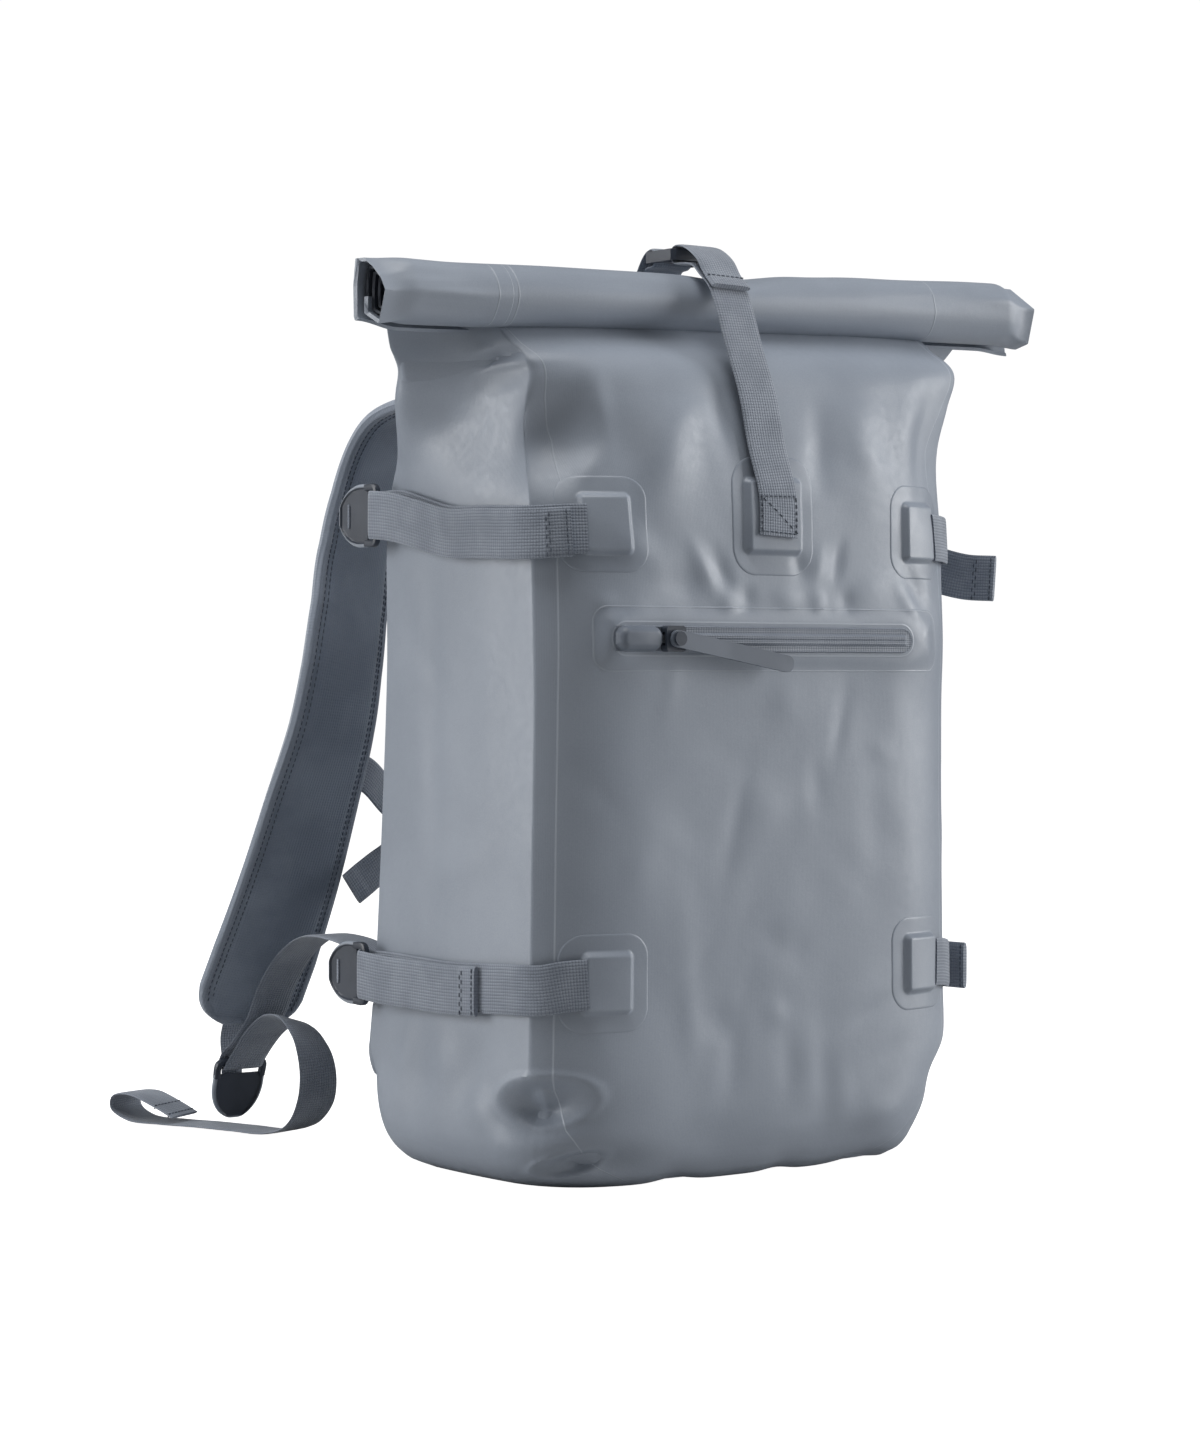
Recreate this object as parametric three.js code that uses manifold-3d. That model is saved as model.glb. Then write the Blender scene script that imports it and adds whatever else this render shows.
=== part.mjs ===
// A rolltop backpack of welded coated fabric, standing on its base.
// Millimetres, +Z up. The front faces -Y, +X is to the right as the front is seen.
// The origin is the middle of the flat base.
import * as THREE from 'three';
import Module from 'manifold-3d';
import { mergeVertices } from 'three/addons/utils/BufferGeometryUtils.js';

const wasm = await Module();
wasm.setup();

// Bag body
const bodyWidth = 272;
const bodyDepth = 156;
const neckHeight = 431;
const wall = 1.8;
const neckSlot = 5.6;
const neckSlant = 5;
const crownPower = 6;
const clearance = 0.35;

// Roll
const rollLength = 437;
const rollShift = 8;
const rollDepth = 42;
const rollHeight = 38;
const rollLayer = 3;
const rollTurns = 2.35;
const rollPitch = 6;
const rollSetForward = 17;

// Webbing and its rings
const webWidth = 25;
const webThick = 1.5;
const layerGap = 0.8;
const ringWidth = 33;
const ringThick = 3.6;
const ringBar = 3.6;
const ringSlot = 5.2;
const ringPlate = 14;
const ringRearSlot = 8;
const ringRim = 5;
const upperStrapHeight = 330;
const lowerStrapHeight = 103;

// Welded patches
const patchWidth = 47;
const patchHeight = 50;
const patchCorner = 13;
const patchThick = 1.2;
const pocketWidth = 25;
const pocketHeight = 30;
const pocketThick = 3.4;
const patchAcross = 103;

// Front pocket zip
const zipHeight = 273;
const zipLength = 195;
const zipCentre = -6.5;
const zipTapeHeight = 14;
const zipTapeThick = 1;
const railNeck = 3;
const railHead = 6;
const railNeckDepth = 1.4;
const railHeadDepth = 2;
const zipPatchHeight = 34;
const zipPatchWidth = 222;
const zipPatchShift = 11.5;
const zipPatchStand = 2.6;
const garageLength = 27;
const garageHeight = 12.5;
const garageDepth = 7;
const sliderLength = 12;
const sliderHeight = 13;
const sliderWall = 1.6;
const postRadius = 1.8;
const postCapRadius = 3.6;
const pullLength = 79;
const pullWidth = 8.5;
const pullThick = 2;
const pullDroop = 10;

// Top strap
const strapSewHeight = 336;
const strapSewLength = 21;
const topBuckleWidth = 31;
const topBuckleDepth = 25;
const topBuckleThick = 6;

// Harness
const padWidth = 61;
const padThick = 11;
const backPadWidth = 196;
const backPadBottom = 48;
const backPadHeight = 318;
const backPadThick = 11;
const sternumWeb = 20;
const sternumRaise = 14;
const sternumBuckleLength = 46;
const sternumBuckleWidth = 27;
const sternumBuckleThick = 9;
const wingAround = 2.13;
const wingHeight = 66;
const wingThick = 3;
const yokeWidth = 190;
const yokeHeight = 40;
const yokeRise = 393;
const yokeThick = 2;
const handleFeet = 66;
const handleWidth = 20;
const handleReach = 28;

const halfWidth = bodyWidth / 2;
const neckHalf = wall + neckSlot / 2;

const coated = new THREE.MeshStandardMaterial({ color: 0x8a929c, roughness: 0.62 });
const patchCoat = new THREE.MeshStandardMaterial({ color: 0x808893, roughness: 0.55 });
const webbing = new THREE.MeshStandardMaterial({ color: 0x6a727d, roughness: 0.85 });
const mouldedPlastic = new THREE.MeshStandardMaterial({ color: 0x565e69, roughness: 0.4 });
const padMesh = new THREE.MeshStandardMaterial({ color: 0x4f5762, roughness: 0.95 });
const zipRubber = new THREE.MeshStandardMaterial({ color: 0x6c747f, roughness: 0.5 });

const bag = new THREE.Group();

function addPart(name, geometry, material) {
  const mesh = new THREE.Mesh(geometry, material);
  mesh.name = name;
  bag.add(mesh);
  return mesh;
}

// A closed geometry from vertices (Vector3) and triangles (index triples).
function closedGeometry(vertices, triangles) {
  const geometry = new THREE.BufferGeometry();
  const positions = new Float32Array(vertices.flatMap((p) => [p.x, p.y, p.z]));
  geometry.setAttribute('position', new THREE.BufferAttribute(positions, 3));
  geometry.setIndex(triangles.flat());
  return geometry;
}

// Turns the faces outwards if the solid came out inside out.
function facingOut(geometry) {
  const p = geometry.attributes.position;
  const index = geometry.index.array;
  const [a, b, c] = [new THREE.Vector3(), new THREE.Vector3(), new THREE.Vector3()];
  let volume = 0;
  for (let i = 0; i < index.length; i += 3) {
    a.fromBufferAttribute(p, index[i]);
    b.fromBufferAttribute(p, index[i + 1]);
    c.fromBufferAttribute(p, index[i + 2]);
    volume += a.dot(b.cross(c));
  }
  if (volume < 0) {
    for (let i = 0; i < index.length; i += 3) {
      [index[i + 1], index[i + 2]] = [index[i + 2], index[i + 1]];
    }
  }
  return geometry;
}

function toSolid(geometry) {
  const bare = new THREE.BufferGeometry();
  bare.setAttribute('position', geometry.attributes.position.clone());
  if (geometry.index) bare.setIndex(geometry.index.clone());
  const merged = mergeVertices(bare, 1e-3);
  return new wasm.Manifold(new wasm.Mesh({
    numProp: 3,
    vertProperties: merged.attributes.position.array,
    triVerts: new Uint32Array(merged.index.array),
  }));
}

function toGeometry(solid) {
  const mesh = solid.getMesh();
  const geometry = new THREE.BufferGeometry();
  geometry.setAttribute('position', new THREE.BufferAttribute(Float32Array.from(mesh.vertProperties), 3));
  geometry.setIndex(new THREE.BufferAttribute(Uint32Array.from(mesh.triVerts), 1));
  return geometry;
}

function joined(...geometries) {
  const solids = geometries.map(toSolid);
  return toGeometry(solids.reduce((sum, solid) => sum.add(solid)));
}

// Body sections from base to neck. rise: share of neckHeight. width: share of half the body
// width. front, back, crown, tip, round, lean: shares of bodyDepth. tip is how far the side's
// fold line stands out, pinch how straight the side runs to it, shift a share of halfWidth.
const bodySections = [
  { rise: 0.000, width: 0.860, front: 0.270, crown: 0.125, back: 0.420, tip: 0.02, pinch: 0, round: 0.34, shift: 0.00, lean: 0.00 },
  { rise: 0.010, width: 0.930, front: 0.300, crown: 0.130, back: 0.455, tip: 0.02, pinch: 0, round: 0.32, shift: 0.00, lean: 0.00 },
  { rise: 0.032, width: 0.985, front: 0.325, crown: 0.138, back: 0.488, tip: 0.02, pinch: 0, round: 0.28, shift: 0.00, lean: 0.00 },
  { rise: 0.068, width: 1.022, front: 0.338, crown: 0.145, back: 0.518, tip: 0.02, pinch: 0, round: 0.22, shift: 0.00, lean: 0.00 },
  { rise: 0.125, width: 1.028, front: 0.340, crown: 0.148, back: 0.528, tip: 0.02, pinch: 0, round: 0.15, shift: 0.00, lean: 0.00 },
  { rise: 0.220, width: 1.016, front: 0.334, crown: 0.147, back: 0.508, tip: 0.02, pinch: 0, round: 0.10, shift: 0.00, lean: 0.00 },
  { rise: 0.400, width: 1.000, front: 0.328, crown: 0.146, back: 0.486, tip: 0.02, pinch: 0, round: 0.09, shift: 0.00, lean: 0.00 },
  { rise: 0.600, width: 0.990, front: 0.324, crown: 0.145, back: 0.470, tip: 0.02, pinch: 0, round: 0.09, shift: 0.00, lean: 0.00 },
  { rise: 0.740, width: 0.998, front: 0.316, crown: 0.143, back: 0.460, tip: 0.03, pinch: 0, round: 0.10, shift: 0.00, lean: 0.00 },
  { rise: 0.810, width: 1.022, front: 0.292, crown: 0.136, back: 0.435, tip: 0.065, pinch: 0.1, round: 0.13, shift: 0.01, lean: 0.00 },
  { rise: 0.870, width: 1.058, front: 0.250, crown: 0.122, back: 0.385, tip: 0.155, pinch: 0.3, round: 0.14, shift: 0.03, lean: 0.00 },
  { rise: 0.920, width: 1.078, front: 0.195, crown: 0.100, back: 0.305, tip: 0.25, pinch: 0.6, round: 0.12, shift: 0.05, lean: -0.01 },
  { rise: 0.960, width: 1.032, front: 0.125, crown: 0.070, back: 0.200, tip: 0.33, pinch: 0.85, round: 0.09, shift: 0.06, lean: -0.02 },
  { rise: 0.985, width: 1.000, front: 0.055, crown: 0.032, back: 0.090, tip: 0.385, pinch: 1, round: 0.05, shift: 0.07, lean: -0.025 },
  { rise: 1.000, width: 0.985, front: 0.000, crown: 0.000, back: 0.000, tip: 0.41, pinch: 1, round: 0.02, shift: 0.07, lean: -0.03 },
];

// Dents and folds. around: place round the outline, 0 the front's middle, 1 its corner, 2 the
// back corner, minus on the left. span and tall: half sizes, as shares of halfWidth and
// neckHeight. push: share of bodyDepth, plus is outwards. slope turns the fold.
const bodyDents = [
  { around: -0.98, rise: 0.086, span: 0.15, tall: 0.024, push: -0.060, slope: 0.0 },
  { around: -0.76, rise: 0.036, span: 0.18, tall: 0.016, push: -0.040, slope: -0.1 },
  { around: -0.88, rise: 0.870, span: 0.20, tall: 0.070, push: -0.055, slope: 0.2 },
  { around: 0.90, rise: 0.870, span: 0.18, tall: 0.070, push: -0.045, slope: -0.2 },
  { around: -0.45, rise: 0.880, span: 0.12, tall: 0.075, push: 0.020, slope: 0.7 },
  { around: 0.45, rise: 0.880, span: 0.12, tall: 0.075, push: 0.020, slope: -0.7 },
  { around: 0.62, rise: 0.055, span: 0.16, tall: 0.034, push: 0.022, slope: 0.2 },
  { around: 1.02, rise: 0.100, span: 0.12, tall: 0.024, push: -0.035, slope: 0.0 },
  { around: -1.50, rise: 0.900, span: 0.22, tall: 0.030, push: -0.025, slope: 0.0 },
];

const sectionColumns = Object.keys(bodySections[0]).filter((key) => key !== 'rise');

// The section at a rise, each column on a smooth curve through the table.
function sectionAt(rise) {
  const last = bodySections.length - 1;
  const place = THREE.MathUtils.clamp(rise, 0, 1);
  let i = 0;
  while (i < last - 1 && bodySections[i + 1].rise < place) i += 1;
  const [lower, upper] = [bodySections[i], bodySections[i + 1]];
  const before = bodySections[Math.max(0, i - 1)];
  const after = bodySections[Math.min(last, i + 2)];
  const span = upper.rise - lower.rise;
  const t = (place - lower.rise) / span;
  const section = {};
  for (const key of sectionColumns) {
    const startSlope = (upper[key] - before[key]) / (upper.rise - before.rise) * span;
    const endSlope = (after[key] - lower[key]) / (after.rise - lower.rise) * span;
    section[key] = (2 * t ** 3 - 3 * t ** 2 + 1) * lower[key] + (t ** 3 - 2 * t ** 2 + t) * startSlope
      + (3 * t ** 2 - 2 * t ** 3) * upper[key] + (t ** 3 - t ** 2) * endSlope;
  }
  return section;
}

// The sharp-cornered outline at a place round the body, inset by the wall where asked.
function sharpOutline(around, section, inset) {
  const wrapped = ((around + 3) % 6 + 6) % 6 - 3;
  const v = Math.abs(wrapped);
  const side = wrapped < 0 ? -1 : 1;
  const front = neckHalf + section.front * bodyDepth - inset;
  const back = neckHalf + section.back * bodyDepth - inset;
  const width = section.width * halfWidth - inset * (1 - section.pinch);
  const thinning = 1 - section.pinch * inset / ((front + back) / 2 + inset);
  const tip = section.tip * bodyDepth * thinning;
  if (v <= 1) {
    return [side * width * v, -(front + section.crown * bodyDepth * (1 - v ** crownPower))];
  }
  if (v <= 2) {
    const t = v - 1;
    const out = tip * (1 - Math.abs(2 * t - 1) ** (2 - section.pinch));
    return [side * (width + out), -front + (front + back) * t];
  }
  return [side * width * (3 - v), back];
}

const roundingSamples = [-1, -0.66, -0.33, 0, 0.33, 0.66, 1];

function dentPush(around, rise) {
  let push = 0;
  for (const dent of bodyDents) {
    const a = (around - dent.around) / dent.span;
    const b = (rise - dent.rise - dent.slope * (around - dent.around) * 0.2) / dent.tall;
    push += dent.push * bodyDepth * Math.exp(-(a * a + b * b));
  }
  return push;
}

function roundedOutline(around, section, inset) {
  const reach = section.round * bodyDepth / halfWidth / 2;
  let [x, y] = [0, 0];
  for (const step of roundingSamples) {
    const [sx, sy] = sharpOutline(around + step * reach, section, inset);
    x += sx / roundingSamples.length;
    y += sy / roundingSamples.length;
  }
  return [x + section.shift * halfWidth, y + section.lean * bodyDepth];
}

// The outward direction of the outline, level, as [x, y].
function outwardAt(around, section) {
  const step = 0.02;
  const [x0, y0] = roundedOutline(around - step, section, 0);
  const [x1, y1] = roundedOutline(around + step, section, 0);
  const length = Math.hypot(x1 - x0, y1 - y0);
  return [(y1 - y0) / length, -(x1 - x0) / length];
}

function slantAt(x, rise) {
  return neckSlant * x / halfWidth * THREE.MathUtils.smoothstep(rise, 0.75, 1);
}

// A point on the body: lift stands off the outer face, inset moves to the inner face.
function bodyPoint(around, rise, lift = 0, inset = 0) {
  const section = sectionAt(rise);
  const [x, y] = roundedOutline(around, section, inset);
  const [nx, ny] = outwardAt(around, section);
  const off = lift + dentPush(around, rise) * (1 - section.pinch);
  const z = rise * neckHeight + slantAt(x, rise);
  return new THREE.Vector3(x + nx * off, y + ny * off, z);
}

const bodyRises = [0, 0.010, 0.032, 0.068, 0.110, 0.150, 0.190, 0.240, 0.330, 0.450, 0.570, 0.680,
  0.760, 0.810, 0.850, 0.890, 0.925, 0.955, 0.980, 1];
const halfRound = [0, 0.2, 0.4, 0.58, 0.72, 0.84, 0.93, 1, 1.07, 1.18, 1.34, 1.5, 1.66, 1.82, 1.93, 2,
  2.07, 2.2, 2.45, 2.72];
const roundPlaces = [...halfRound, 3, ...halfRound.slice(1).reverse().map((v) => -v)];

// The hollow body: outer wall, rim at the neck and inner wall, with a floor at the base.
function bagShell() {
  const vertices = [];
  const triangles = [];
  const count = roundPlaces.length;
  const rows = [
    ...bodyRises.map((rise) => roundPlaces.map((v) => bodyPoint(v, rise))),
    ...[...bodyRises].reverse().map((rise) => roundPlaces.map((v) => {
      const point = bodyPoint(v, rise, 0, wall);
      point.z = Math.max(point.z, wall);
      return point;
    })),
  ];
  rows.flat().forEach((point) => vertices.push(point));
  // The inner wall's faces are split along the same diagonals as the outer wall's.
  for (let r = 0; r < rows.length - 1; r += 1) {
    const outer = r < bodyRises.length;
    for (let i = 0; i < count; i += 1) {
      const [a, b] = [r * count + i, r * count + (i + 1) % count];
      if (outer) triangles.push([a, b, b + count], [a, b + count, a + count]);
      else triangles.push([a, b, a + count], [b, b + count, a + count]);
    }
  }
  const lastRow = (rows.length - 1) * count;
  vertices.push(new THREE.Vector3(0, 0, 0), new THREE.Vector3(0, 0, wall));
  for (let i = 0; i < count; i += 1) {
    const next = (i + 1) % count;
    triangles.push([vertices.length - 2, next, i], [vertices.length - 1, lastRow + i, lastRow + next]);
  }
  return facingOut(closedGeometry(vertices, triangles));
}

// The body as a full block that stands out by the clearance. What is welded or laid on the
// bag has its back cut by it, so that it follows the fabric.
function bodyBlock() {
  const vertices = bodyRises.flatMap((rise) => roundPlaces.map((v) => bodyPoint(v, rise, clearance)));
  const triangles = [];
  const count = roundPlaces.length;
  const last = (bodyRises.length - 1) * count;
  for (let i = 0; i < count; i += 1) {
    const next = (i + 1) % count;
    for (let a = i, b = next; a < last; a += count, b += count) {
      triangles.push([a, b, b + count], [a, b + count, a + count]);
    }
  }
  const neck = bodyPoint(0, 1).setY((bodyPoint(0, 1).y + bodyPoint(3, 1).y) / 2);
  vertices.push(new THREE.Vector3(0, 0, 0), neck);
  for (let i = 0; i < count; i += 1) {
    const next = (i + 1) % count;
    triangles.push([vertices.length - 2, next, i], [vertices.length - 1, last + i, last + next]);
  }
  return facingOut(closedGeometry(vertices, triangles));
}

const bodySolid = toSolid(bodyBlock());
const sunk = 4;

function seated(geometry) {
  return toGeometry(toSolid(geometry).subtract(bodySolid));
}

// The roll: a coil of folded fabric, its end sections a little flatter than the middle.
const rollSections = [
  { along: -0.500, depth: 0.70, height: 1.00, rise: 0.02, back: -0.10 },
  { along: -0.465, depth: 0.80, height: 1.04, rise: 0.02, back: -0.06 },
  { along: -0.380, depth: 0.94, height: 1.01, rise: 0.00, back: -0.02 },
  { along: -0.150, depth: 1.00, height: 0.98, rise: 0.00, back: 0.00 },
  { along: 0.050, depth: 1.00, height: 0.97, rise: -0.02, back: 0.00 },
  { along: 0.250, depth: 1.00, height: 1.00, rise: 0.01, back: 0.00 },
  { along: 0.420, depth: 0.92, height: 1.00, rise: 0.01, back: -0.02 },
  { along: 0.475, depth: 0.72, height: 0.98, rise: 0.00, back: -0.08 },
  { along: 0.500, depth: 0.50, height: 0.72, rise: -0.03, back: -0.12 },
];
const rollStartAngle = 0.50;
const rollSteps = 26;
const rollCentreHeight = neckHeight + clearance + rollHeight / 2 - 2.2;

// One point of the coil in the roll's own upright plane; inward is measured from the outer face.
function coilPoint(turnAngle, inward) {
  const shrink = rollPitch * (turnAngle - rollStartAngle) / (2 * Math.PI) + inward;
  const a = Math.max(rollDepth / 2 - shrink, 1);
  const b = Math.max(rollHeight / 2 - shrink, 1);
  return new THREE.Vector2(a * Math.sin(turnAngle), -b * Math.cos(turnAngle));
}

function rollTop() {
  const angles = Array.from({ length: rollSteps + 1 },
    (unused, i) => rollStartAngle + i / rollSteps * rollTurns * 2 * Math.PI);
  const outline = [
    ...angles.map((angle) => coilPoint(angle, 0)),
    ...[...angles].reverse().map((angle) => coilPoint(angle, rollLayer)),
  ];
  const caps = THREE.ShapeUtils.triangulateShape(outline, []);
  const count = outline.length;
  const vertices = [];
  const triangles = [];
  for (const section of rollSections) {
    const x = rollShift + section.along * rollLength;
    for (const point of outline) {
      vertices.push(new THREE.Vector3(
        x,
        -rollSetForward + section.back * rollDepth + point.x * section.depth,
        rollCentreHeight + slantAt(x, 1) + section.rise * rollHeight + point.y * section.height,
      ));
    }
  }
  for (let r = 0; r < rollSections.length - 1; r += 1) {
    for (let i = 0; i < count; i += 1) {
      const [a, b] = [r * count + i, r * count + (i + 1) % count];
      triangles.push([a, b + count, b], [a, a + count, b + count]);
    }
  }
  const top = (rollSections.length - 1) * count;
  for (const [a, b, c] of caps) triangles.push([a, b, c], [top + a, top + c, top + b]);
  return facingOut(closedGeometry(vertices, triangles));
}

// A welded plate that follows the body, built up in terraces. Each terrace is a rounded rectangle,
// width along the outline and height up, moved along by shift, its face standing off the body.
function plateOnBody({ around, height, terraces }) {
  const cornerSteps = 2;
  const quarters = [[1, 1, 0], [-1, 1, 1], [-1, -1, 2], [1, -1, 3]];
  const outlineOf = ({ wide, tall, corner, shift = 0 }, shrink) => quarters.flatMap(([sx, sz, quarter]) => (
    Array.from({ length: cornerSteps + 1 }, (unused, i) => {
      const angle = (quarter + i / cornerSteps) * Math.PI / 2;
      return [
        shift + shrink * (sx * (wide / 2 - corner) + corner * Math.cos(angle)),
        shrink * (sz * (tall / 2 - corner) + corner * Math.sin(angle)),
      ];
    })
  ));
  const at = (u, w, off) => bodyPoint(around + u / halfWidth, (height + w) / neckHeight, off);
  const top = terraces[terraces.length - 1];
  const rows = [
    outlineOf(terraces[0], 0.6).map(([u, w]) => at(u, w, -sunk)),
    outlineOf(terraces[0], 1).map(([u, w]) => at(u, w, -sunk)),
    ...terraces.flatMap((terrace, i) => [
      outlineOf(terrace, 1).map(([u, w]) => at(u, w, clearance + (i ? terraces[i - 1].stand : terrace.stand * 0.6))),
      outlineOf(terrace, 1 - (terrace.bevel ?? 0)).map(([u, w]) => at(u, w, clearance + terrace.stand)),
    ]),
    outlineOf(top, 0.55).map(([u, w]) => at(u, w, clearance + top.stand)),
  ];
  const vertices = rows.flat();
  const triangles = [];
  const count = rows[0].length;
  for (let r = 0; r < rows.length - 1; r += 1) {
    for (let i = 0; i < count; i += 1) {
      const [a, b] = [r * count + i, r * count + (i + 1) % count];
      triangles.push([a, b, b + count], [a, b + count, a + count]);
    }
  }
  vertices.push(at(0, 0, -sunk), at(top.shift ?? 0, 0, clearance + top.stand));
  const last = (rows.length - 1) * count;
  for (let i = 0; i < count; i += 1) {
    const next = (i + 1) % count;
    triangles.push([vertices.length - 2, next, i], [vertices.length - 1, last + i, last + next]);
  }
  return seated(facingOut(closedGeometry(vertices, triangles)));
}

// A flat ribbon along a smooth path. Each stop is [x, y, z] or [x, y, z, wx, wy, wz] with the
// direction of its width; steps divide each span between stops.
function ribbon(stops, { width = webWidth, thick = webThick, across = [0, 0, 1], steps = 3 } = {}) {
  const points = stops.map(([x, y, z]) => new THREE.Vector3(x, y, z));
  const widths = stops.map((s) => new THREE.Vector3(...(s.length > 3 ? s.slice(3) : across)).normalize());
  const curve = new THREE.CatmullRomCurve3(points, false, 'centripetal');
  const spans = points.length - 1;
  const total = spans * steps;
  const vertices = [];
  const triangles = [];
  for (let i = 0; i <= total; i += 1) {
    const t = i / total;
    const span = Math.min(Math.floor(t * spans), spans - 1);
    const share = t * spans - span;
    const centre = curve.getPoint(t);
    const tangent = curve.getTangent(t);
    const side = widths[span].clone().lerp(widths[span + 1], share);
    side.addScaledVector(tangent, -side.dot(tangent)).normalize();
    const normal = new THREE.Vector3().crossVectors(tangent, side);
    for (const [u, v] of [[-1, -1], [1, -1], [1, 1], [-1, 1]]) {
      vertices.push(centre.clone().addScaledVector(side, u * width / 2).addScaledVector(normal, v * thick / 2));
    }
    if (i === 0) continue;
    const [p, q] = [(i - 1) * 4, i * 4];
    for (let k = 0; k < 4; k += 1) {
      const n = (k + 1) % 4;
      triangles.push([p + k, p + n, q + n], [p + k, q + n, q + k]);
    }
  }
  const end = total * 4;
  triangles.push([0, 2, 1], [0, 3, 2], [end, end + 1, end + 2], [end, end + 2, end + 3]);
  return facingOut(closedGeometry(vertices, triangles));
}

// Stops of a half turn round a bar: starts on the near side, ends on the far side.
// forward and normal are unit directions in the plane of the turn.
function halfTurn(centre, forward, normal, radius) {
  return [-1, -0.7, 0, 0.7, 1].map((share) => {
    const angle = share * Math.PI / 2;
    return centre.clone()
      .addScaledVector(forward, Math.cos(angle) * radius)
      .addScaledVector(normal, Math.sin(angle) * radius)
      .toArray();
  });
}

// A D-shaped strap ring lying in its own XY plane: the straight bar at y = 0, the rim at +y.
const ringLength = ringBar + ringSlot + ringPlate + ringRearSlot + ringRim;
const ringOpening = webWidth + 1.6;

function strapRing() {
  const half = ringWidth / 2;
  const outer = new THREE.Shape();
  const shoulder = ringBar + ringSlot + ringPlate * 0.6;
  outer.moveTo(-half, 1.5);
  outer.lineTo(-half + 1.5, 0);
  outer.lineTo(half - 1.5, 0);
  outer.lineTo(half, 1.5);
  outer.lineTo(half, shoulder);
  outer.quadraticCurveTo(half, ringLength, half * 0.3, ringLength);
  outer.lineTo(-half * 0.3, ringLength);
  outer.quadraticCurveTo(-half, ringLength, -half, shoulder);
  const slot = new THREE.Path();
  slot.moveTo(-ringOpening / 2, ringBar);
  slot.lineTo(-ringOpening / 2, ringBar + ringSlot);
  slot.lineTo(ringOpening / 2, ringBar + ringSlot);
  slot.lineTo(ringOpening / 2, ringBar);
  const rearSlot = new THREE.Path();
  const rear = ringBar + ringSlot + ringPlate;
  rearSlot.moveTo(-ringOpening * 0.36, rear);
  rearSlot.quadraticCurveTo(-ringOpening * 0.34, rear + ringRearSlot, -half * 0.2, rear + ringRearSlot);
  rearSlot.lineTo(half * 0.2, rear + ringRearSlot);
  rearSlot.quadraticCurveTo(ringOpening * 0.34, rear + ringRearSlot, ringOpening * 0.36, rear);
  outer.holes.push(slot, rearSlot);
  const geometry = new THREE.ExtrudeGeometry(outer, { depth: ringThick, bevelEnabled: false, curveSegments: 5 });
  geometry.translate(0, 0, -ringThick / 2);
  return geometry;
}

// Puts a ring with its bar's middle at origin, its length along forward and its face to normal.
function placedRing(origin, forward, normal) {
  const across = new THREE.Vector3().crossVectors(forward, normal);
  const frame = new THREE.Matrix4().makeBasis(across, forward, normal);
  const start = origin.clone().addScaledVector(forward, -ringBar / 2);
  return strapRing().applyMatrix4(frame.setPosition(start));
}

// Side compression straps. levels: how far the strap's middle stands above its height at the
// pocket, the front corner, the middle of the side and the ring. tail: how far the free end runs
// forward, as a place round the body, or flare: where a loose end stands out, as shares of
// halfWidth and bodyDepth.
const sideStraps = [
  { name: 'upper_left', side: -1, height: upperStrapHeight, tail: 0.885, levels: [-3, -4, -2, 8] },
  { name: 'lower_left', side: -1, height: lowerStrapHeight, tail: 1.190, levels: [0, -3, -5, -4] },
  { name: 'upper_right', side: 1, height: upperStrapHeight, flare: [1.345, -0.290, -22], levels: [-2, -3, -2, 6] },
  { name: 'lower_right', side: 1, height: lowerStrapHeight, flare: [1.150, -0.325, -6], levels: [0, -3, -5, -4] },
];
const turnRadius = Math.hypot(ringThick, ringBar) / 2 + clearance + webThick / 2;
const mainLift = patchThick + clearance * 3.5 + webThick / 2;
const ringBarBehind = -0.025;
const pocketOuter = patchAcross + 12;

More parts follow.
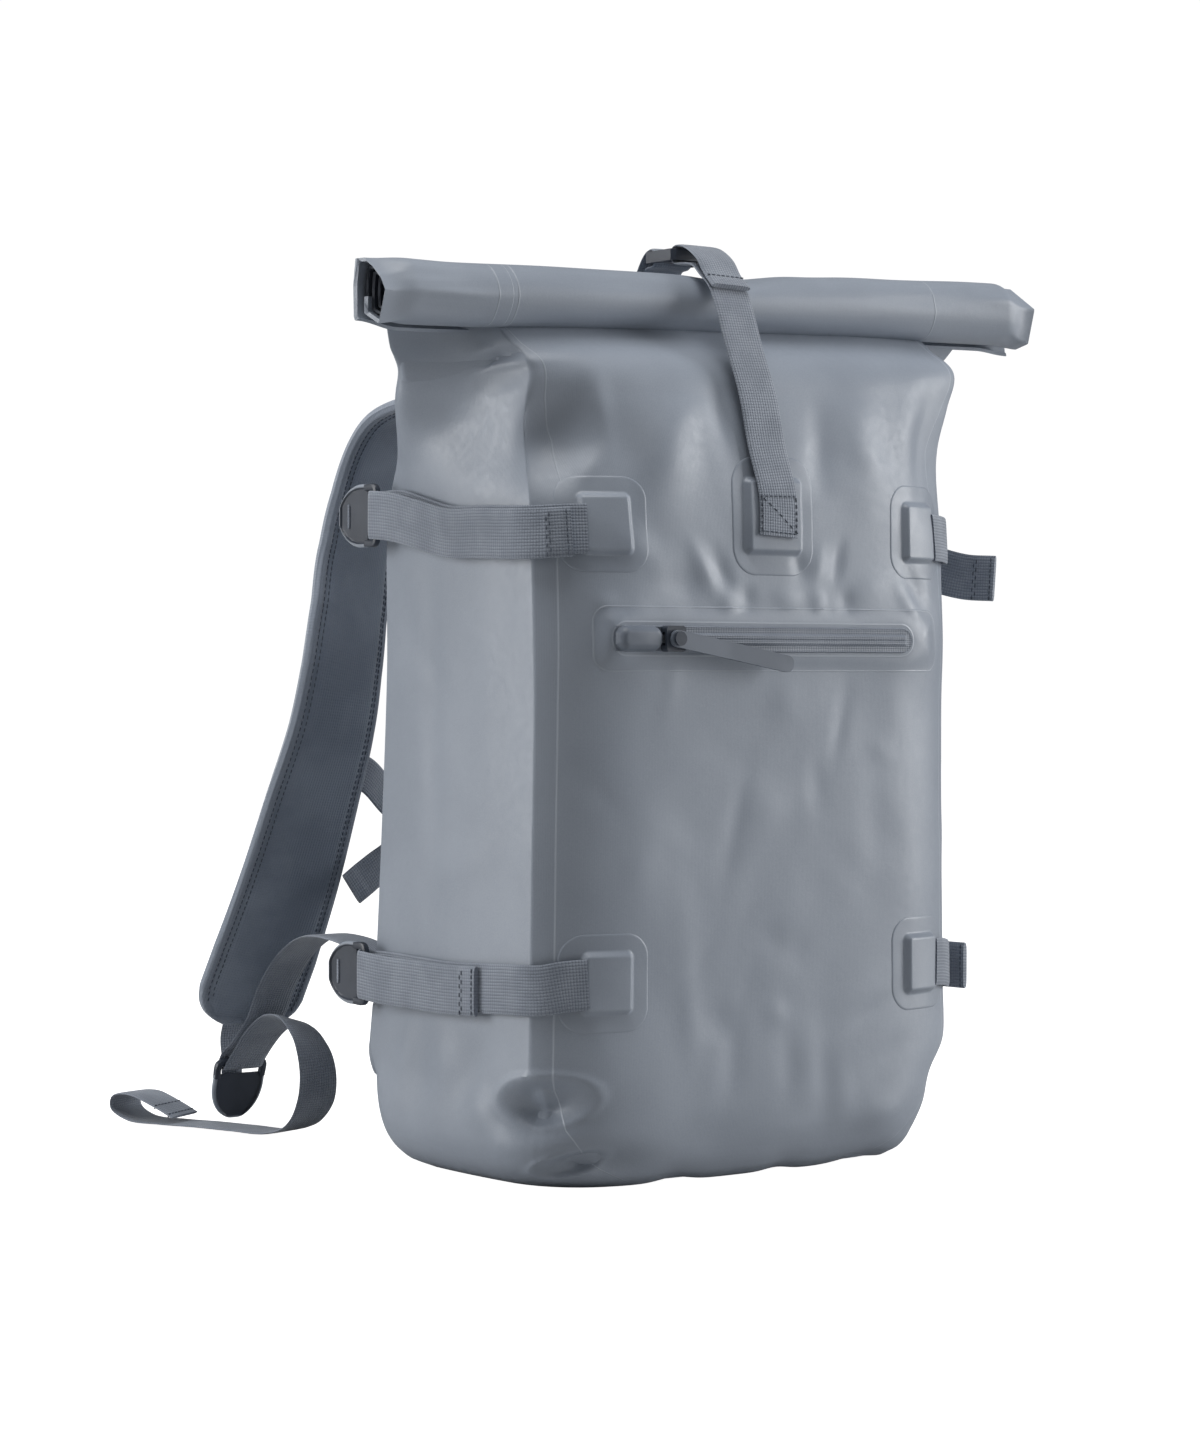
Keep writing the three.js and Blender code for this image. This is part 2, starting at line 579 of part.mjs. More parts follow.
function sideStrap({ name, side, height, tail, flare, levels }) {
  const start = (pocketOuter + 4 * clearance) / halfWidth;
  const ringAt = 1.82;
  const knots = [start, 1, 1.45, ringAt];
  const level = (around) => {
    const place = THREE.MathUtils.clamp(around, start, ringAt);
    const i = Math.min(knots.findIndex((knot) => knot >= place - 1e-9) || 1, 3);
    const t = (place - knots[i - 1]) / (knots[i] - knots[i - 1]);
    return THREE.MathUtils.lerp(levels[i - 1], levels[i], t * t * (3 - 2 * t));
  };
  const at = (around, drop, lift) => {
    const rise = (height + drop) / neckHeight;
    const reach = webWidth / 2 / neckHeight;
    const upright = bodyPoint(side * around, rise + reach).sub(bodyPoint(side * around, rise - reach));
    return [...bodyPoint(side * around, rise, lift).toArray(), ...upright.toArray()];
  };
  const main = [start, 0.9, 0.97, 1.03, 1.1, 1.25, 1.45, 1.65, ringAt].map((v) => at(v, level(v), mainLift));
  const ringHeight = height + levels[3];
  const corner = bodyPoint(side * 2, ringHeight / neckHeight);
  const barX = side * (Math.abs(bodyPoint(side * ringAt, ringHeight / neckHeight).x) + mainLift + turnRadius);
  const bar = new THREE.Vector3(barX, corner.y + ringBarBehind * bodyDepth, ringHeight);
  const forward = new THREE.Vector3(0, 1, 0);
  const outwards = new THREE.Vector3(side, 0, 0);
  const turn = halfTurn(bar, forward, outwards, turnRadius);
  const tailLift = mainLift + 2 * turnRadius;
  const tailDrop = -1.5;
  let back;
  if (tail) {
    const places = [ringAt, 1.65, 1.45, 1.25, 1.1, 1.03, 0.97, 0.92, 0.885].filter((v) => v >= tail);
    const settle = [-1, -3];
    back = places.map((v, i) => at(v, level(v) + tailDrop, tailLift + (settle[i] ?? -4.8)));
  } else {
    const [outX, outY, fall] = [side * flare[0] * halfWidth, flare[1] * bodyDepth, flare[2]];
    const mid = bodyPoint(side * 1.6, height / neckHeight, tailLift);
    back = [[0, 0], [0.35, 0.4], [0.75, 0.75], [1, 1]].map(([a, b]) => [
      mid.x + (outX - mid.x) * a, mid.y + (outY - mid.y) * b,
      height + THREE.MathUtils.lerp(level(1.6), fall, a * (2 - a)),
    ]);
  }
  addPart(`side_strap_${name}`, ribbon([...main, ...turn, ...back], { steps: 2 }), webbing);
  addPart(`side_ring_${name}`, placedRing(bar, forward, outwards), mouldedPlastic);

  // A short tab from the back panel ends in the ring's rear slot.
  const rearY = bar.y - ringBar / 2 + ringBar + ringSlot + ringPlate + ringRearSlot * 0.45;
  const root = bodyPoint(side * 2.15, height / neckHeight, clearance * 1.9 + webThick / 2);
  const bend = bodyPoint(side * 2.06, height / neckHeight, clearance + 4);
  addPart(`ring_tab_${name}`, ribbon([
    root.setZ(ringHeight).toArray(),
    bend.setZ(ringHeight).toArray(),
    [barX - side * 5, rearY - 0.6, ringHeight],
    [barX + side * (ringThick / 2 - 0.4), rearY, ringHeight],
  ], { steps: 2, width: ringOpening * 0.5 }), webbing);

  // The welded patch with the raised pocket that the strap comes out of.
  const pocketShift = side * (pocketOuter - pocketWidth / 2 - patchAcross);
  addPart(`anchor_patch_${name}`, plateOnBody({
    around: side * patchAcross / halfWidth,
    height,
    terraces: [
      { wide: patchWidth, tall: patchHeight, corner: patchCorner, stand: patchThick, bevel: 0.02 },
      { wide: pocketWidth, tall: pocketHeight, corner: 2.5, shift: pocketShift, stand: pocketThick, bevel: 0.08 },
    ],
  }), patchCoat);
}

// A box with rounded edges seen along Y: width along X, height along Z.
function slab(width, height, depth, corner, hole) {
  const shape = new THREE.Shape();
  const [w, h] = [width / 2, height / 2];
  shape.moveTo(-w + corner, -h);
  shape.lineTo(w - corner, -h);
  shape.absarc(w - corner, -h + corner, corner, -Math.PI / 2, 0);
  shape.absarc(w - corner, h - corner, corner, 0, Math.PI / 2);
  shape.absarc(-w + corner, h - corner, corner, Math.PI / 2, Math.PI);
  shape.absarc(-w + corner, -h + corner, corner, Math.PI, Math.PI * 1.5);
  if (hole) {
    const path = new THREE.Path();
    path.absarc(hole.x, hole.y, hole.radius, 0, Math.PI * 2, true);
    shape.holes.push(path);
  }
  const geometry = new THREE.ExtrudeGeometry(shape, { depth, bevelEnabled: false, curveSegments: 4 });
  geometry.rotateX(Math.PI / 2);
  return geometry;
}

// The zip lies on a straight line, so its slider runs true along X.
function frontZip() {
  const rise = zipHeight / neckHeight;
  const panelFront = bodyPoint(zipCentre / halfWidth, rise).y;
  const faceY = panelFront - zipPatchStand;

  // The patch has a flat front and a back that follows the panel.
  const columns = 12;
  const rows = [-0.5, -0.34, 0, 0.34, 0.5];
  const inset = [0.94, 1, 1, 1, 0.94];
  const vertices = [];
  const triangles = [];
  const count = columns + 1;
  for (const frontFace of [true, false]) {
    rows.forEach((row, r) => {
      for (let c = 0; c <= columns; c += 1) {
        const x = zipCentre + zipPatchShift + (c / columns - 0.5) * zipPatchWidth * inset[r];
        const z = zipHeight + row * zipPatchHeight;
        const onPanel = bodyPoint(x / halfWidth, z / neckHeight, clearance);
        const y = frontFace ? Math.min(faceY, onPanel.y - zipTapeThick) : onPanel.y + sunk;
        vertices.push(new THREE.Vector3(onPanel.x, y, z));
      }
    });
  }
  const back = rows.length * count;
  for (let r = 0; r < rows.length - 1; r += 1) {
    for (let c = 0; c < columns; c += 1) {
      const a = r * count + c;
      triangles.push([a, a + 1, a + count + 1], [a, a + count + 1, a + count]);
      triangles.push([back + a, back + a + count + 1, back + a + 1], [back + a, back + a + count, back + a + count + 1]);
    }
  }
  const edge = [
    ...Array.from({ length: columns }, (unused, c) => c),
    ...Array.from({ length: rows.length - 1 }, (unused, r) => r * count + columns),
    ...Array.from({ length: columns }, (unused, c) => (rows.length - 1) * count + columns - c),
    ...Array.from({ length: rows.length - 1 }, (unused, r) => (rows.length - 1 - r) * count),
  ];
  edge.forEach((a, i) => {
    const b = edge[(i + 1) % edge.length];
    triangles.push([a, back + a, back + b], [a, back + b, b]);
  });
  addPart('zip_patch', seated(facingOut(closedGeometry(vertices, triangles))), patchCoat);

  // Tape and rail in one: a flat strip with a headed rail along its middle.
  const tapeFront = faceY - clearance - zipTapeThick;
  const tape = slab(zipLength, zipTapeHeight, zipTapeThick, zipTapeHeight / 2 - 0.1)
    .translate(zipCentre, tapeFront + zipTapeThick, zipHeight);
  const railStart = zipCentre - zipLength / 2 + garageLength * 0.5;
  const railEnd = zipCentre + zipLength / 2 - 5;
  const railRun = railEnd - railStart;
  const neck = new THREE.BoxGeometry(railRun, railNeckDepth + 0.6, railNeck)
    .translate(railStart + railRun / 2, tapeFront - railNeckDepth / 2 + 0.3, zipHeight);
  const head = new THREE.BoxGeometry(railRun, railHeadDepth, railHead)
    .translate(railStart + railRun / 2, tapeFront - railNeckDepth - railHeadDepth / 2 + 0.1, zipHeight);
  const headFront = tapeFront - railNeckDepth - railHeadDepth + 0.1;

  // The garage at the closed end covers the end of the rail.
  const garageX = zipCentre - zipLength / 2 + garageLength / 2;
  const garageBlock = slab(garageLength, garageHeight, garageDepth, 4.5)
    .translate(garageX, tapeFront - clearance, zipHeight);
  const railRoom = new THREE.BoxGeometry(garageLength, garageDepth, railHead + 2 * clearance)
    .translate(railStart + garageLength / 2 - clearance, headFront - clearance + garageDepth / 2, zipHeight);
  addPart('zip_garage', toGeometry(toSolid(garageBlock).subtract(toSolid(railRoom))), zipRubber);
  addPart('zip_rail', joined(tape, neck, head), zipRubber);

  // The slider holds the rail's head in a channel.
  const sliderX = garageX + garageLength / 2 + clearance + sliderLength / 2;
  const sliderBack = tapeFront - clearance;
  const sliderFront = headFront - clearance - sliderWall;
  const block = slab(sliderLength, sliderHeight, sliderBack - sliderFront, 2)
    .translate(sliderX, sliderBack, zipHeight);
  const run = sliderLength + 2;
  const headRoom = new THREE.BoxGeometry(run, railHeadDepth + 2 * clearance, railHead + 2 * clearance)
    .translate(sliderX, headFront + railHeadDepth / 2, zipHeight);
  const neckRoom = new THREE.BoxGeometry(run, railNeckDepth + 2, railNeck + 2 * clearance)
    .translate(sliderX, headFront + railHeadDepth + railNeckDepth / 2 + 0.6, zipHeight);
  const postLength = pullThick + 2 * clearance + 0.6;
  const post = new THREE.CylinderGeometry(postRadius, postRadius, postLength, 12)
    .translate(sliderX, sliderFront - postLength / 2 + 0.3, zipHeight);
  const cap = new THREE.CylinderGeometry(postCapRadius, postCapRadius, 1.2, 14)
    .translate(sliderX, sliderFront - postLength + 0.3 - 0.4, zipHeight);
  const slider = toSolid(block).subtract(toSolid(headRoom)).subtract(toSolid(neckRoom))
    .add(toSolid(post)).add(toSolid(cap));
  addPart('zip_slider', toGeometry(slider), mouldedPlastic);

  // The pull turns on the post and leans down to the right.
  const eyeX = -pullLength / 2 + pullWidth / 2;
  const pull = slab(pullLength, pullWidth, pullThick, pullWidth / 2 - 0.4,
    { x: eyeX, y: 0, radius: postRadius + clearance });
  pull.translate(-eyeX, 0, 0);
  pull.rotateY(THREE.MathUtils.degToRad(pullDroop));
  pull.translate(sliderX, sliderFront - clearance, zipHeight);
  addPart('zip_pull', pull, zipRubber);
}

// Height of the roll's outer face above or in front of its middle, at the strap.
function rollFace(angle, off, x = 0) {
  return new THREE.Vector3(
    x,
    -rollSetForward + (rollDepth / 2 + off) * Math.sin(angle),
    rollCentreHeight - (rollHeight / 2 + off) * Math.cos(angle),
  );
}

function topClosure() {
  const across = [1, 0, 0];
  const mainOff = 1.6 + webThick / 2;
  const tailOff = mainOff + webThick + layerGap;
  const buckleRadius = Math.hypot(topBuckleThick, ringBar) / 2 + clearance + webThick / 2;
  const buckleTop = rollFace(Math.PI, 0).z + mainOff + webThick / 2;
  const centre = new THREE.Vector3(0, 0, buckleTop + buckleRadius);
  const barReach = topBuckleDepth / 2 - ringBar / 2;

  const sewn = (z) => bodyPoint(0, z / neckHeight, pocketThick + 2 * clearance + webThick / 2);
  const frontBar = centre.clone().setY(-barReach);
  const frontMain = [
    sewn(strapSewHeight - strapSewLength / 2).toArray(),
    sewn(strapSewHeight + strapSewLength / 2).toArray(),
    [-1, -72, 372],
    [-2, -66, 398],
    [-3, -56.5, 423],
    rollFace(Math.PI * 1.42, mainOff + 4, -3.5).toArray(),
    rollFace(Math.PI * 1.28, mainOff, -3).toArray(),
    rollFace(Math.PI * 1.12, mainOff, -1).toArray(),
  ];
  const turn = halfTurn(frontBar, new THREE.Vector3(0, 1, 0), new THREE.Vector3(0, 0, 1), buckleRadius);
  const frontTail = [
    [0, frontBar.y - 6, centre.z + buckleRadius * 0.8],
    rollFace(Math.PI * 1.16, tailOff + 2.5, -2).toArray(),
    rollFace(Math.PI * 1.30, tailOff + 0.6, -3).toArray(),
    rollFace(Math.PI * 1.42, tailOff + 4.5, -3.5).toArray(),
  ];
  addPart('top_strap_front', ribbon([...frontMain, ...turn, ...frontTail], { across, steps: 3 }), webbing);

  // A two-slot buckle: a bar for each strap and a plate between the slots.
  const shape = new THREE.Shape();
  const [w, d] = [topBuckleWidth / 2, topBuckleDepth / 2];
  shape.moveTo(-w, -d + 2);
  shape.lineTo(-w + 2, -d);
  shape.lineTo(w - 2, -d);
  shape.lineTo(w, -d + 2);
  shape.lineTo(w, d - 2);
  shape.lineTo(w - 2, d);
  shape.lineTo(-w + 2, d);
  shape.lineTo(-w, d - 2);
  for (const side of [-1, 1]) {
    const slot = new THREE.Path();
    const [near, far] = [side * (d - ringBar), side * (d - ringBar - ringSlot)];
    slot.moveTo(-ringOpening / 2, near);
    slot.lineTo(-ringOpening / 2, far);
    slot.lineTo(ringOpening / 2, far);
    slot.lineTo(ringOpening / 2, near);
    shape.holes.push(slot);
  }
  const buckle = new THREE.ExtrudeGeometry(shape, { depth: topBuckleThick, bevelEnabled: false });
  buckle.translate(0, 0, centre.z - topBuckleThick / 2);
  addPart('top_buckle', buckle, mouldedPlastic);

  // The rear strap comes up the back panel, round the rear bar and is sewn to itself.
  const rearBar = centre.clone().setY(barReach);
  const rearTurn = halfTurn(rearBar, new THREE.Vector3(0, -1, 0), new THREE.Vector3(0, 0, -1), buckleRadius);
  const overYoke = yokeThick + 4 * clearance + webThick / 2;
  const onBack = (rise, lift) => bodyPoint(3, rise, lift).setX(0).toArray();
  addPart('top_strap_rear', ribbon([
    onBack(0.875, overYoke),
    onBack(0.91, overYoke),
    onBack(0.945, overYoke + 1),
    [0, rearBar.y + 14, centre.z - 10],
    [0, rearBar.y + 5, centre.z + buckleRadius * 0.55],
    ...rearTurn,
    [0, rearBar.y + 4, centre.z - buckleRadius - 0.5],
    [0, rearBar.y + 9, centre.z - buckleRadius - 6],
  ], { across, steps: 2 }), webbing);

  addPart('anchor_patch_top', plateOnBody({
    around: 0,
    height: strapSewHeight,
    terraces: [
      { wide: 54, tall: 62, corner: 15, stand: patchThick, bevel: 0.02 },
      { wide: 36, tall: 38, corner: 4, stand: pocketThick, bevel: 0.06 },
    ],
  }), patchCoat);
}

// Shoulder pads, laid out for the left one: x, y, z of the middle, turn of the width in plan,
// and width as a share of padWidth. The right one is its mirror image.
const padRoute = [
  { x: -58, y: 81, z: 378, turn: 0, width: 0.84 },
  { x: -60, y: 88, z: 393, turn: 0, width: 0.90 },
  { x: -64, y: 104, z: 401, turn: 2, width: 0.96 },
  { x: -69, y: 126, z: 401, turn: 5, width: 1.00 },
  { x: -73, y: 150, z: 394, turn: 9, width: 1.02 },
  { x: -76, y: 167, z: 379, turn: 13, width: 1.02 },
  { x: -81, y: 179, z: 352, turn: 18, width: 1.02 },
  { x: -87, y: 182, z: 322, turn: 19, width: 1.02 },
  { x: -94, y: 178, z: 290, turn: 17, width: 1.00 },
  { x: -100, y: 176, z: 258, turn: 12, width: 0.98 },
  { x: -104, y: 180, z: 226, turn: 6, width: 0.97 },
  { x: -108, y: 194, z: 186, turn: -3, width: 0.97 },
  { x: -112, y: 212, z: 140, turn: -9, width: 1.00 },
  { x: -117, y: 230, z: 98, turn: -12, width: 1.04 },
  { x: -120, y: 240, z: 76, turn: -13, width: 1.04 },
  { x: -121, y: 246, z: 63, turn: -13, width: 0.92 },
  { x: -121, y: 249, z: 57, turn: -13, width: 0.70 },
];
const padShape = [[-1, -0.1], [-0.97, 0.6], [-0.8, 1], [0, 1], [0.8, 1], [0.97, 0.6], [1, -0.1],
  [0.97, -0.6], [0.8, -1], [0, -1], [-0.8, -1], [-0.97, -0.6]];

// How far back a pad's sewn end lies, on the yoke.
function padSeat({ x, z }) {
  return bodyPoint(3 - x / halfWidth, z / neckHeight, yokeThick - clearance + padThick / 2).y;
}

function padFrame(index) {
  const at = (i) => {
    const stop = padRoute[THREE.MathUtils.clamp(i, 0, padRoute.length - 1)];
    return new THREE.Vector3(stop.x, i > 0 ? stop.y : padSeat(stop), stop.z);
  };
  const turn = THREE.MathUtils.degToRad(padRoute[index].turn);
  const tangent = at(index + 1).sub(at(index - 1)).normalize();
  const side = new THREE.Vector3(Math.cos(turn), Math.sin(turn), 0);
  side.addScaledVector(tangent, -side.dot(tangent)).normalize();
  return { centre: at(index), tangent, side, normal: new THREE.Vector3().crossVectors(side, tangent) };
}

function shoulderPad() {
  const count = padShape.length;
  const vertices = [];
  const triangles = [];
  padRoute.forEach((stop, r) => {
    const { centre, side, normal } = padFrame(r);
    for (const [u, v] of padShape) {
      vertices.push(centre.clone()
        .addScaledVector(side, u * padWidth / 2 * stop.width)
        .addScaledVector(normal, v * padThick / 2));
    }
    if (r === 0) return;
    for (let i = 0; i < count; i += 1) {
      const [a, b] = [(r - 1) * count + i, (r - 1) * count + (i + 1) % count];
      triangles.push([a, b, b + count], [a, b + count, a + count]);
    }
  });
  const last = (padRoute.length - 1) * count;
  for (let i = 1; i < count - 1; i += 1) triangles.push([0, i + 1, i], [last, last + i, last + i + 1]);
  return facingOut(closedGeometry(vertices, triangles));
}

// The lower webbing: out of the back panel's corner, down in front of the pad to the ring, and
// its free end curling forward onto the floor to a sewn loop. The middle of the ring's bar:
const padRingBar = new THREE.Vector3(-121, 250, 36);
const padRingForward = new THREE.Vector3(0, 0.28, -0.95).normalize();
const padRingNormal = new THREE.Vector3(0, -0.95, -0.28).normalize();
const lowerWebStart = [
  [-119.5, 103, 99], [-120, 120, 109], [-120, 144, 113], [-120, 168, 112],
  [-120, 192, 101], [-120, 212, 82], [-120, 225, 63], [-120.5, 234, 54],
  [-120.5, 243.5, 46.5], [-120.5, 249.5, 43],
];
const lowerWebTail = [
  [-120.5, 238, 44], [-120.5, 224, 55.5, 1, 0, -0.1], [-120, 209, 63, 1, 0.05, -0.25],
  [-119.5, 194, 63, 1, 0.1, -0.32], [-119, 179, 53, 1, 0.15, -0.2], [-118, 173, 38, 1, 0.1, 0],
  [-117, 177, 20, 1, 0, 0.05], [-119, 188, 7, 1, 0.1, 0.05], [-124, 205, 1.6, 1, 0.3, 0],
  [-132, 228, 1.4, 1, 0.4, 0], [-142, 252, 1.8, 1, 0.4, 0], [-151, 275, 1.6, 1, 0.35, 0],
  [-160, 296, 2.6, 1, 0.35, 0], [-164, 306, 8.5, 1, 0.3, 0], [-164, 305, 15, 1, 0.3, 0],
  [-160, 294, 17, 1, 0.3, 0], [-154, 278, 12, 1, 0.35, 0], [-148.5, 266, 6.2, 1, 0.38, 0],
];
const floorClear = 0.4;

function mirrored(geometry) {
  const turned = geometry.clone().scale(-1, 1, 1);
  if (!turned.index) turned.setIndex([...Array(turned.attributes.position.count).keys()]);
  return facingOut(turned);
}

function harnessSide() {
  const pad = shoulderPad();
  const turn = halfTurn(padRingBar, padRingForward, padRingNormal, turnRadius);
  const onWing = [0, 16].map((up) => bodyPoint(-wingAround, (wingHeight + up) / neckHeight,
    wingThick + 2.6 * clearance + webThick / 2 + up * 0.12).setX(-119).toArray());
  const web = ribbon([...onWing, ...lowerWebStart, ...turn, ...lowerWebTail.map(([x, y, z, ...rest]) => [
    x, y, Math.max(z, webThick / 2 + floorClear), ...rest,
  ])], { across: [1, 0, 0], steps: 2 });
  const ring = placedRing(padRingBar, padRingForward, padRingNormal);

  // The pad's end tab runs behind the webbing and ends in the ring's rear slot.
  const end = padFrame(padRoute.length - 3);
  const root = end.centre.clone().addScaledVector(end.normal, padThick / 2 + 1.8 + webThick / 2);
  const slotAt = padRingBar.clone()
    .addScaledVector(padRingForward, ringBar / 2 + ringSlot + ringPlate + ringRearSlot * 0.45);
  const behind = (along, off) => padRingBar.clone().addScaledVector(padRingForward, along)
    .addScaledVector(padRingNormal, -off).toArray();
  const tab = ribbon([
    root.clone().addScaledVector(end.tangent, -16).toArray(),
    root.toArray(),
    behind(-12, 15),
    behind(2, 10),
    behind(15, 6.5),
    behind(23, 4.2),
    slotAt.clone().addScaledVector(padRingNormal, 0.4).toArray(),
  ], { across: [1, 0, 0], steps: 2, width: ringOpening * 0.5 });

  // A triangular wing on the back panel's edge carries the lower webbing.
  const wing = plateOnBody({
    around: -wingAround, height: wingHeight, terraces: [{ wide: 34, tall: 46, corner: 8, stand: wingThick }],
  });
  return { shoulder_pad: [pad, padMesh], shoulder_web: [web, webbing], shoulder_ring: [ring, mouldedPlastic],
    pad_end_tab: [tab, webbing], web_wing: [wing, patchCoat] };
}

function backPanel() {
  const columns = [-1, -0.94, -0.55, -0.45, 0, 0.45, 0.55, 0.94, 1];
  const stand = [0.35, 1, 1, 0.8, 0.8, 0.8, 1, 1, 0.35];
  const rows = [0, 0.03, 0.25, 0.5, 0.75, 0.97, 1];
  const rowStand = [0.35, 1, 1, 1, 1, 1, 0.35];
  const vertices = [];
  const triangles = [];
  const count = columns.length;
  for (const outerFace of [true, false]) {
    rows.forEach((row, r) => columns.forEach((column, c) => {
      const x = column * backPadWidth / 2;
      const z = backPadBottom + row * backPadHeight;
      const onBody = bodyPoint(3 - x / halfWidth, z / neckHeight, clearance);
      const y = outerFace ? onBody.y + backPadThick * Math.min(stand[c], rowStand[r]) : onBody.y - sunk;
      vertices.push(new THREE.Vector3(x, y, z));
    }));
  }
  const back = rows.length * count;
  for (let r = 0; r < rows.length - 1; r += 1) {
    for (let c = 0; c < count - 1; c += 1) {
      const a = r * count + c;
      triangles.push([a, a + 1, a + count + 1], [a, a + count + 1, a + count]);
      triangles.push([back + a, back + a + count + 1, back + a + 1], [back + a, back + a + count, back + a + count + 1]);
    }
  }
  const edge = [];
  for (let c = 0; c < count - 1; c += 1) edge.push(c);
  for (let r = 0; r < rows.length - 1; r += 1) edge.push(r * count + count - 1);
  for (let c = count - 1; c > 0; c -= 1) edge.push((rows.length - 1) * count + c);
  for (let r = rows.length - 1; r > 0; r -= 1) edge.push(r * count);
  edge.forEach((a, i) => {
    const b = edge[(i + 1) % edge.length];
    triangles.push([a, back + a, back + b], [a, back + b, b]);
  });
  return seated(facingOut(closedGeometry(vertices, triangles)));
}

// The chest strap joins the pads on their outer faces, closed by a clip, with a hanging end.
function sternumStrap() {
  const frame = padFrame(11);
  const onPad = frame.centre.clone().addScaledVector(frame.tangent, -sternumRaise)
    .addScaledVector(frame.normal, padThick / 2 + 4.5 + webThick / 2);
  const clipY = onPad.y + 5;
  const clipZ = 178;
  const halfClip = sternumBuckleLength / 2;
  const options = { width: sternumWeb, across: [0, 0, 1], steps: 3 };
  const along = (shift) => onPad.clone().addScaledVector(frame.side, shift).toArray();
  const stops = [along(-8), along(12), along(padWidth / 2 + 4),
    [-halfClip - 26, clipY - 1, clipZ + 5], [-halfClip - 8, clipY, clipZ], [-halfClip - clearance, clipY, clipZ]];
  const left = ribbon(stops, options);
  addPart('sternum_strap_left', left, webbing);
  addPart('sternum_strap_right', mirrored(left), webbing);
  const body = slab(sternumBuckleLength, sternumBuckleWidth, sternumBuckleThick, 5)
    .translate(0, clipY + sternumBuckleThick / 2, clipZ);
  addPart('sternum_clip', body, mouldedPlastic);
  const tail = ribbon([
    [-10, clipY - sternumBuckleThick / 2 - clearance - webThick / 2, clipZ, 0.15, 0, 1],
    [-26, clipY - sternumBuckleThick / 2 - 1.6, clipZ - 4, 0.3, 0, 1],
    [-44, clipY - 7, clipZ - 14, 0.5, 0, 0.9],
    [-62, clipY - 9, clipZ - 29, 0.62, 0, 0.8],
    [-82, clipY - 9, clipZ - 43, 0.66, 0, 0.77],
  ], { width: sternumWeb, steps: 3 });
  addPart('sternum_tail', tail, webbing);
}

// The grab handle: a webbing loop sewn to the yoke at both ends, outside the rear strap.
function haulHandle() {
  const rise = yokeRise / neckHeight;
  const overYoke = yokeThick + 4 * clearance + webThick / 2;
  const upright = bodyPoint(3, rise + 0.02).sub(bodyPoint(3, rise - 0.02)).normalize();
  const outward = new THREE.Vector3().crossVectors(upright, new THREE.Vector3(1, 0, 0));
  const arch = [
    { along: -0.62, share: 0 }, { along: -0.50, share: 0.02 }, { along: -0.40, share: 0.3 },
    { along: -0.26, share: 0.82 }, { along: 0, share: 1 }, { along: 0.26, share: 0.82 },
    { along: 0.40, share: 0.3 }, { along: 0.50, share: 0.02 }, { along: 0.62, share: 0 },
  ];
  addPart('haul_handle', ribbon(arch.map(({ along, share }) => {
    const foot = bodyPoint(3, rise).setX(along * handleFeet);
    return foot.addScaledVector(outward, overYoke + share * handleReach).toArray();
  }), { across: upright.toArray(), steps: 3, width: handleWidth }), webbing);
}

addPart('bag_shell', bagShell(), coated);
addPart('roll_top', rollTop(), coated);
sideStraps.forEach(sideStrap);
topClosure();
frontZip();
for (const [name, [geometry, material]] of Object.entries(harnessSide())) {
  addPart(`${name}_left`, geometry, material);
  addPart(`${name}_right`, mirrored(geometry), material);
}
addPart('back_pad', backPanel(), padMesh);
addPart('strap_yoke', plateOnBody({
  around: 3, height: yokeRise, terraces: [{ wide: yokeWidth, tall: yokeHeight, corner: 10, stand: yokeThick }],
}), patchCoat);
sternumStrap();
haulHandle();

export default bag;
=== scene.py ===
import bmesh
import bpy
import math
import numpy as np
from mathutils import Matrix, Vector


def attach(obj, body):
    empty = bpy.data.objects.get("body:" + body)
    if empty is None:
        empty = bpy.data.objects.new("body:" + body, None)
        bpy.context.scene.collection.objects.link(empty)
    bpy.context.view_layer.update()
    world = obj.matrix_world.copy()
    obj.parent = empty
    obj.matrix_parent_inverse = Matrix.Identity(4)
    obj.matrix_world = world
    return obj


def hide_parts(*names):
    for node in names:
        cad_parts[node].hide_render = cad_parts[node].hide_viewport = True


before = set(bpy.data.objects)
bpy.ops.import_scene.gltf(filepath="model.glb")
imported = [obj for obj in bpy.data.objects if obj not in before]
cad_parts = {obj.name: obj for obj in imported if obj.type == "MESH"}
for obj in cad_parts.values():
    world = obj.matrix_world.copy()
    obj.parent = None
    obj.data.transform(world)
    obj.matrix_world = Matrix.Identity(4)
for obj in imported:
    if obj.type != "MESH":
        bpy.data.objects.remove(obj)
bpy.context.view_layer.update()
print("frame loaded:", len(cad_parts), "nodes")

mm = 0.001  # every size below is in millimetres unless its name says metres

cameraView = {"place": (-1.108, -1.418, 0.255), "forward": (0.616, 0.788), "aside": -0.02405, "lift": -0.0132,
              "lens": 85.15}


def makeCamera(view):
    forward = Vector((view["forward"][0], view["forward"][1], 0))
    right = Vector((forward.y, -forward.x, 0))
    aim = forward + right * view["aside"] + Vector((0, 0, view["lift"]))
    data = bpy.data.cameras.new("photoCamera")
    data.lens, data.clip_start, data.clip_end = view["lens"], 0.05, 60
    camera = bpy.data.objects.new("photoCamera", data)
    bpy.context.scene.collection.objects.link(camera)
    camera.location = view["place"]
    camera.rotation_mode = "QUATERNION"
    camera.rotation_quaternion = aim.to_track_quat("-Z", "Y")
    bpy.context.scene.camera = camera


makeCamera(cameraView)

# Shader helpers: a socket or a plain number may be given wherever a value goes in.


def wire(tree, value, socket):
    if isinstance(value, bpy.types.NodeSocket):
        tree.links.new(value, socket)
    elif value is not None:
        socket.default_value = value


def calc(tree, operation, first, second=None, third=None):
    step = tree.nodes.new("ShaderNodeMath")
    step.operation = operation
    for value, socket in zip((first, second, third), step.inputs):
        wire(tree, value, socket)
    return step.outputs[0]


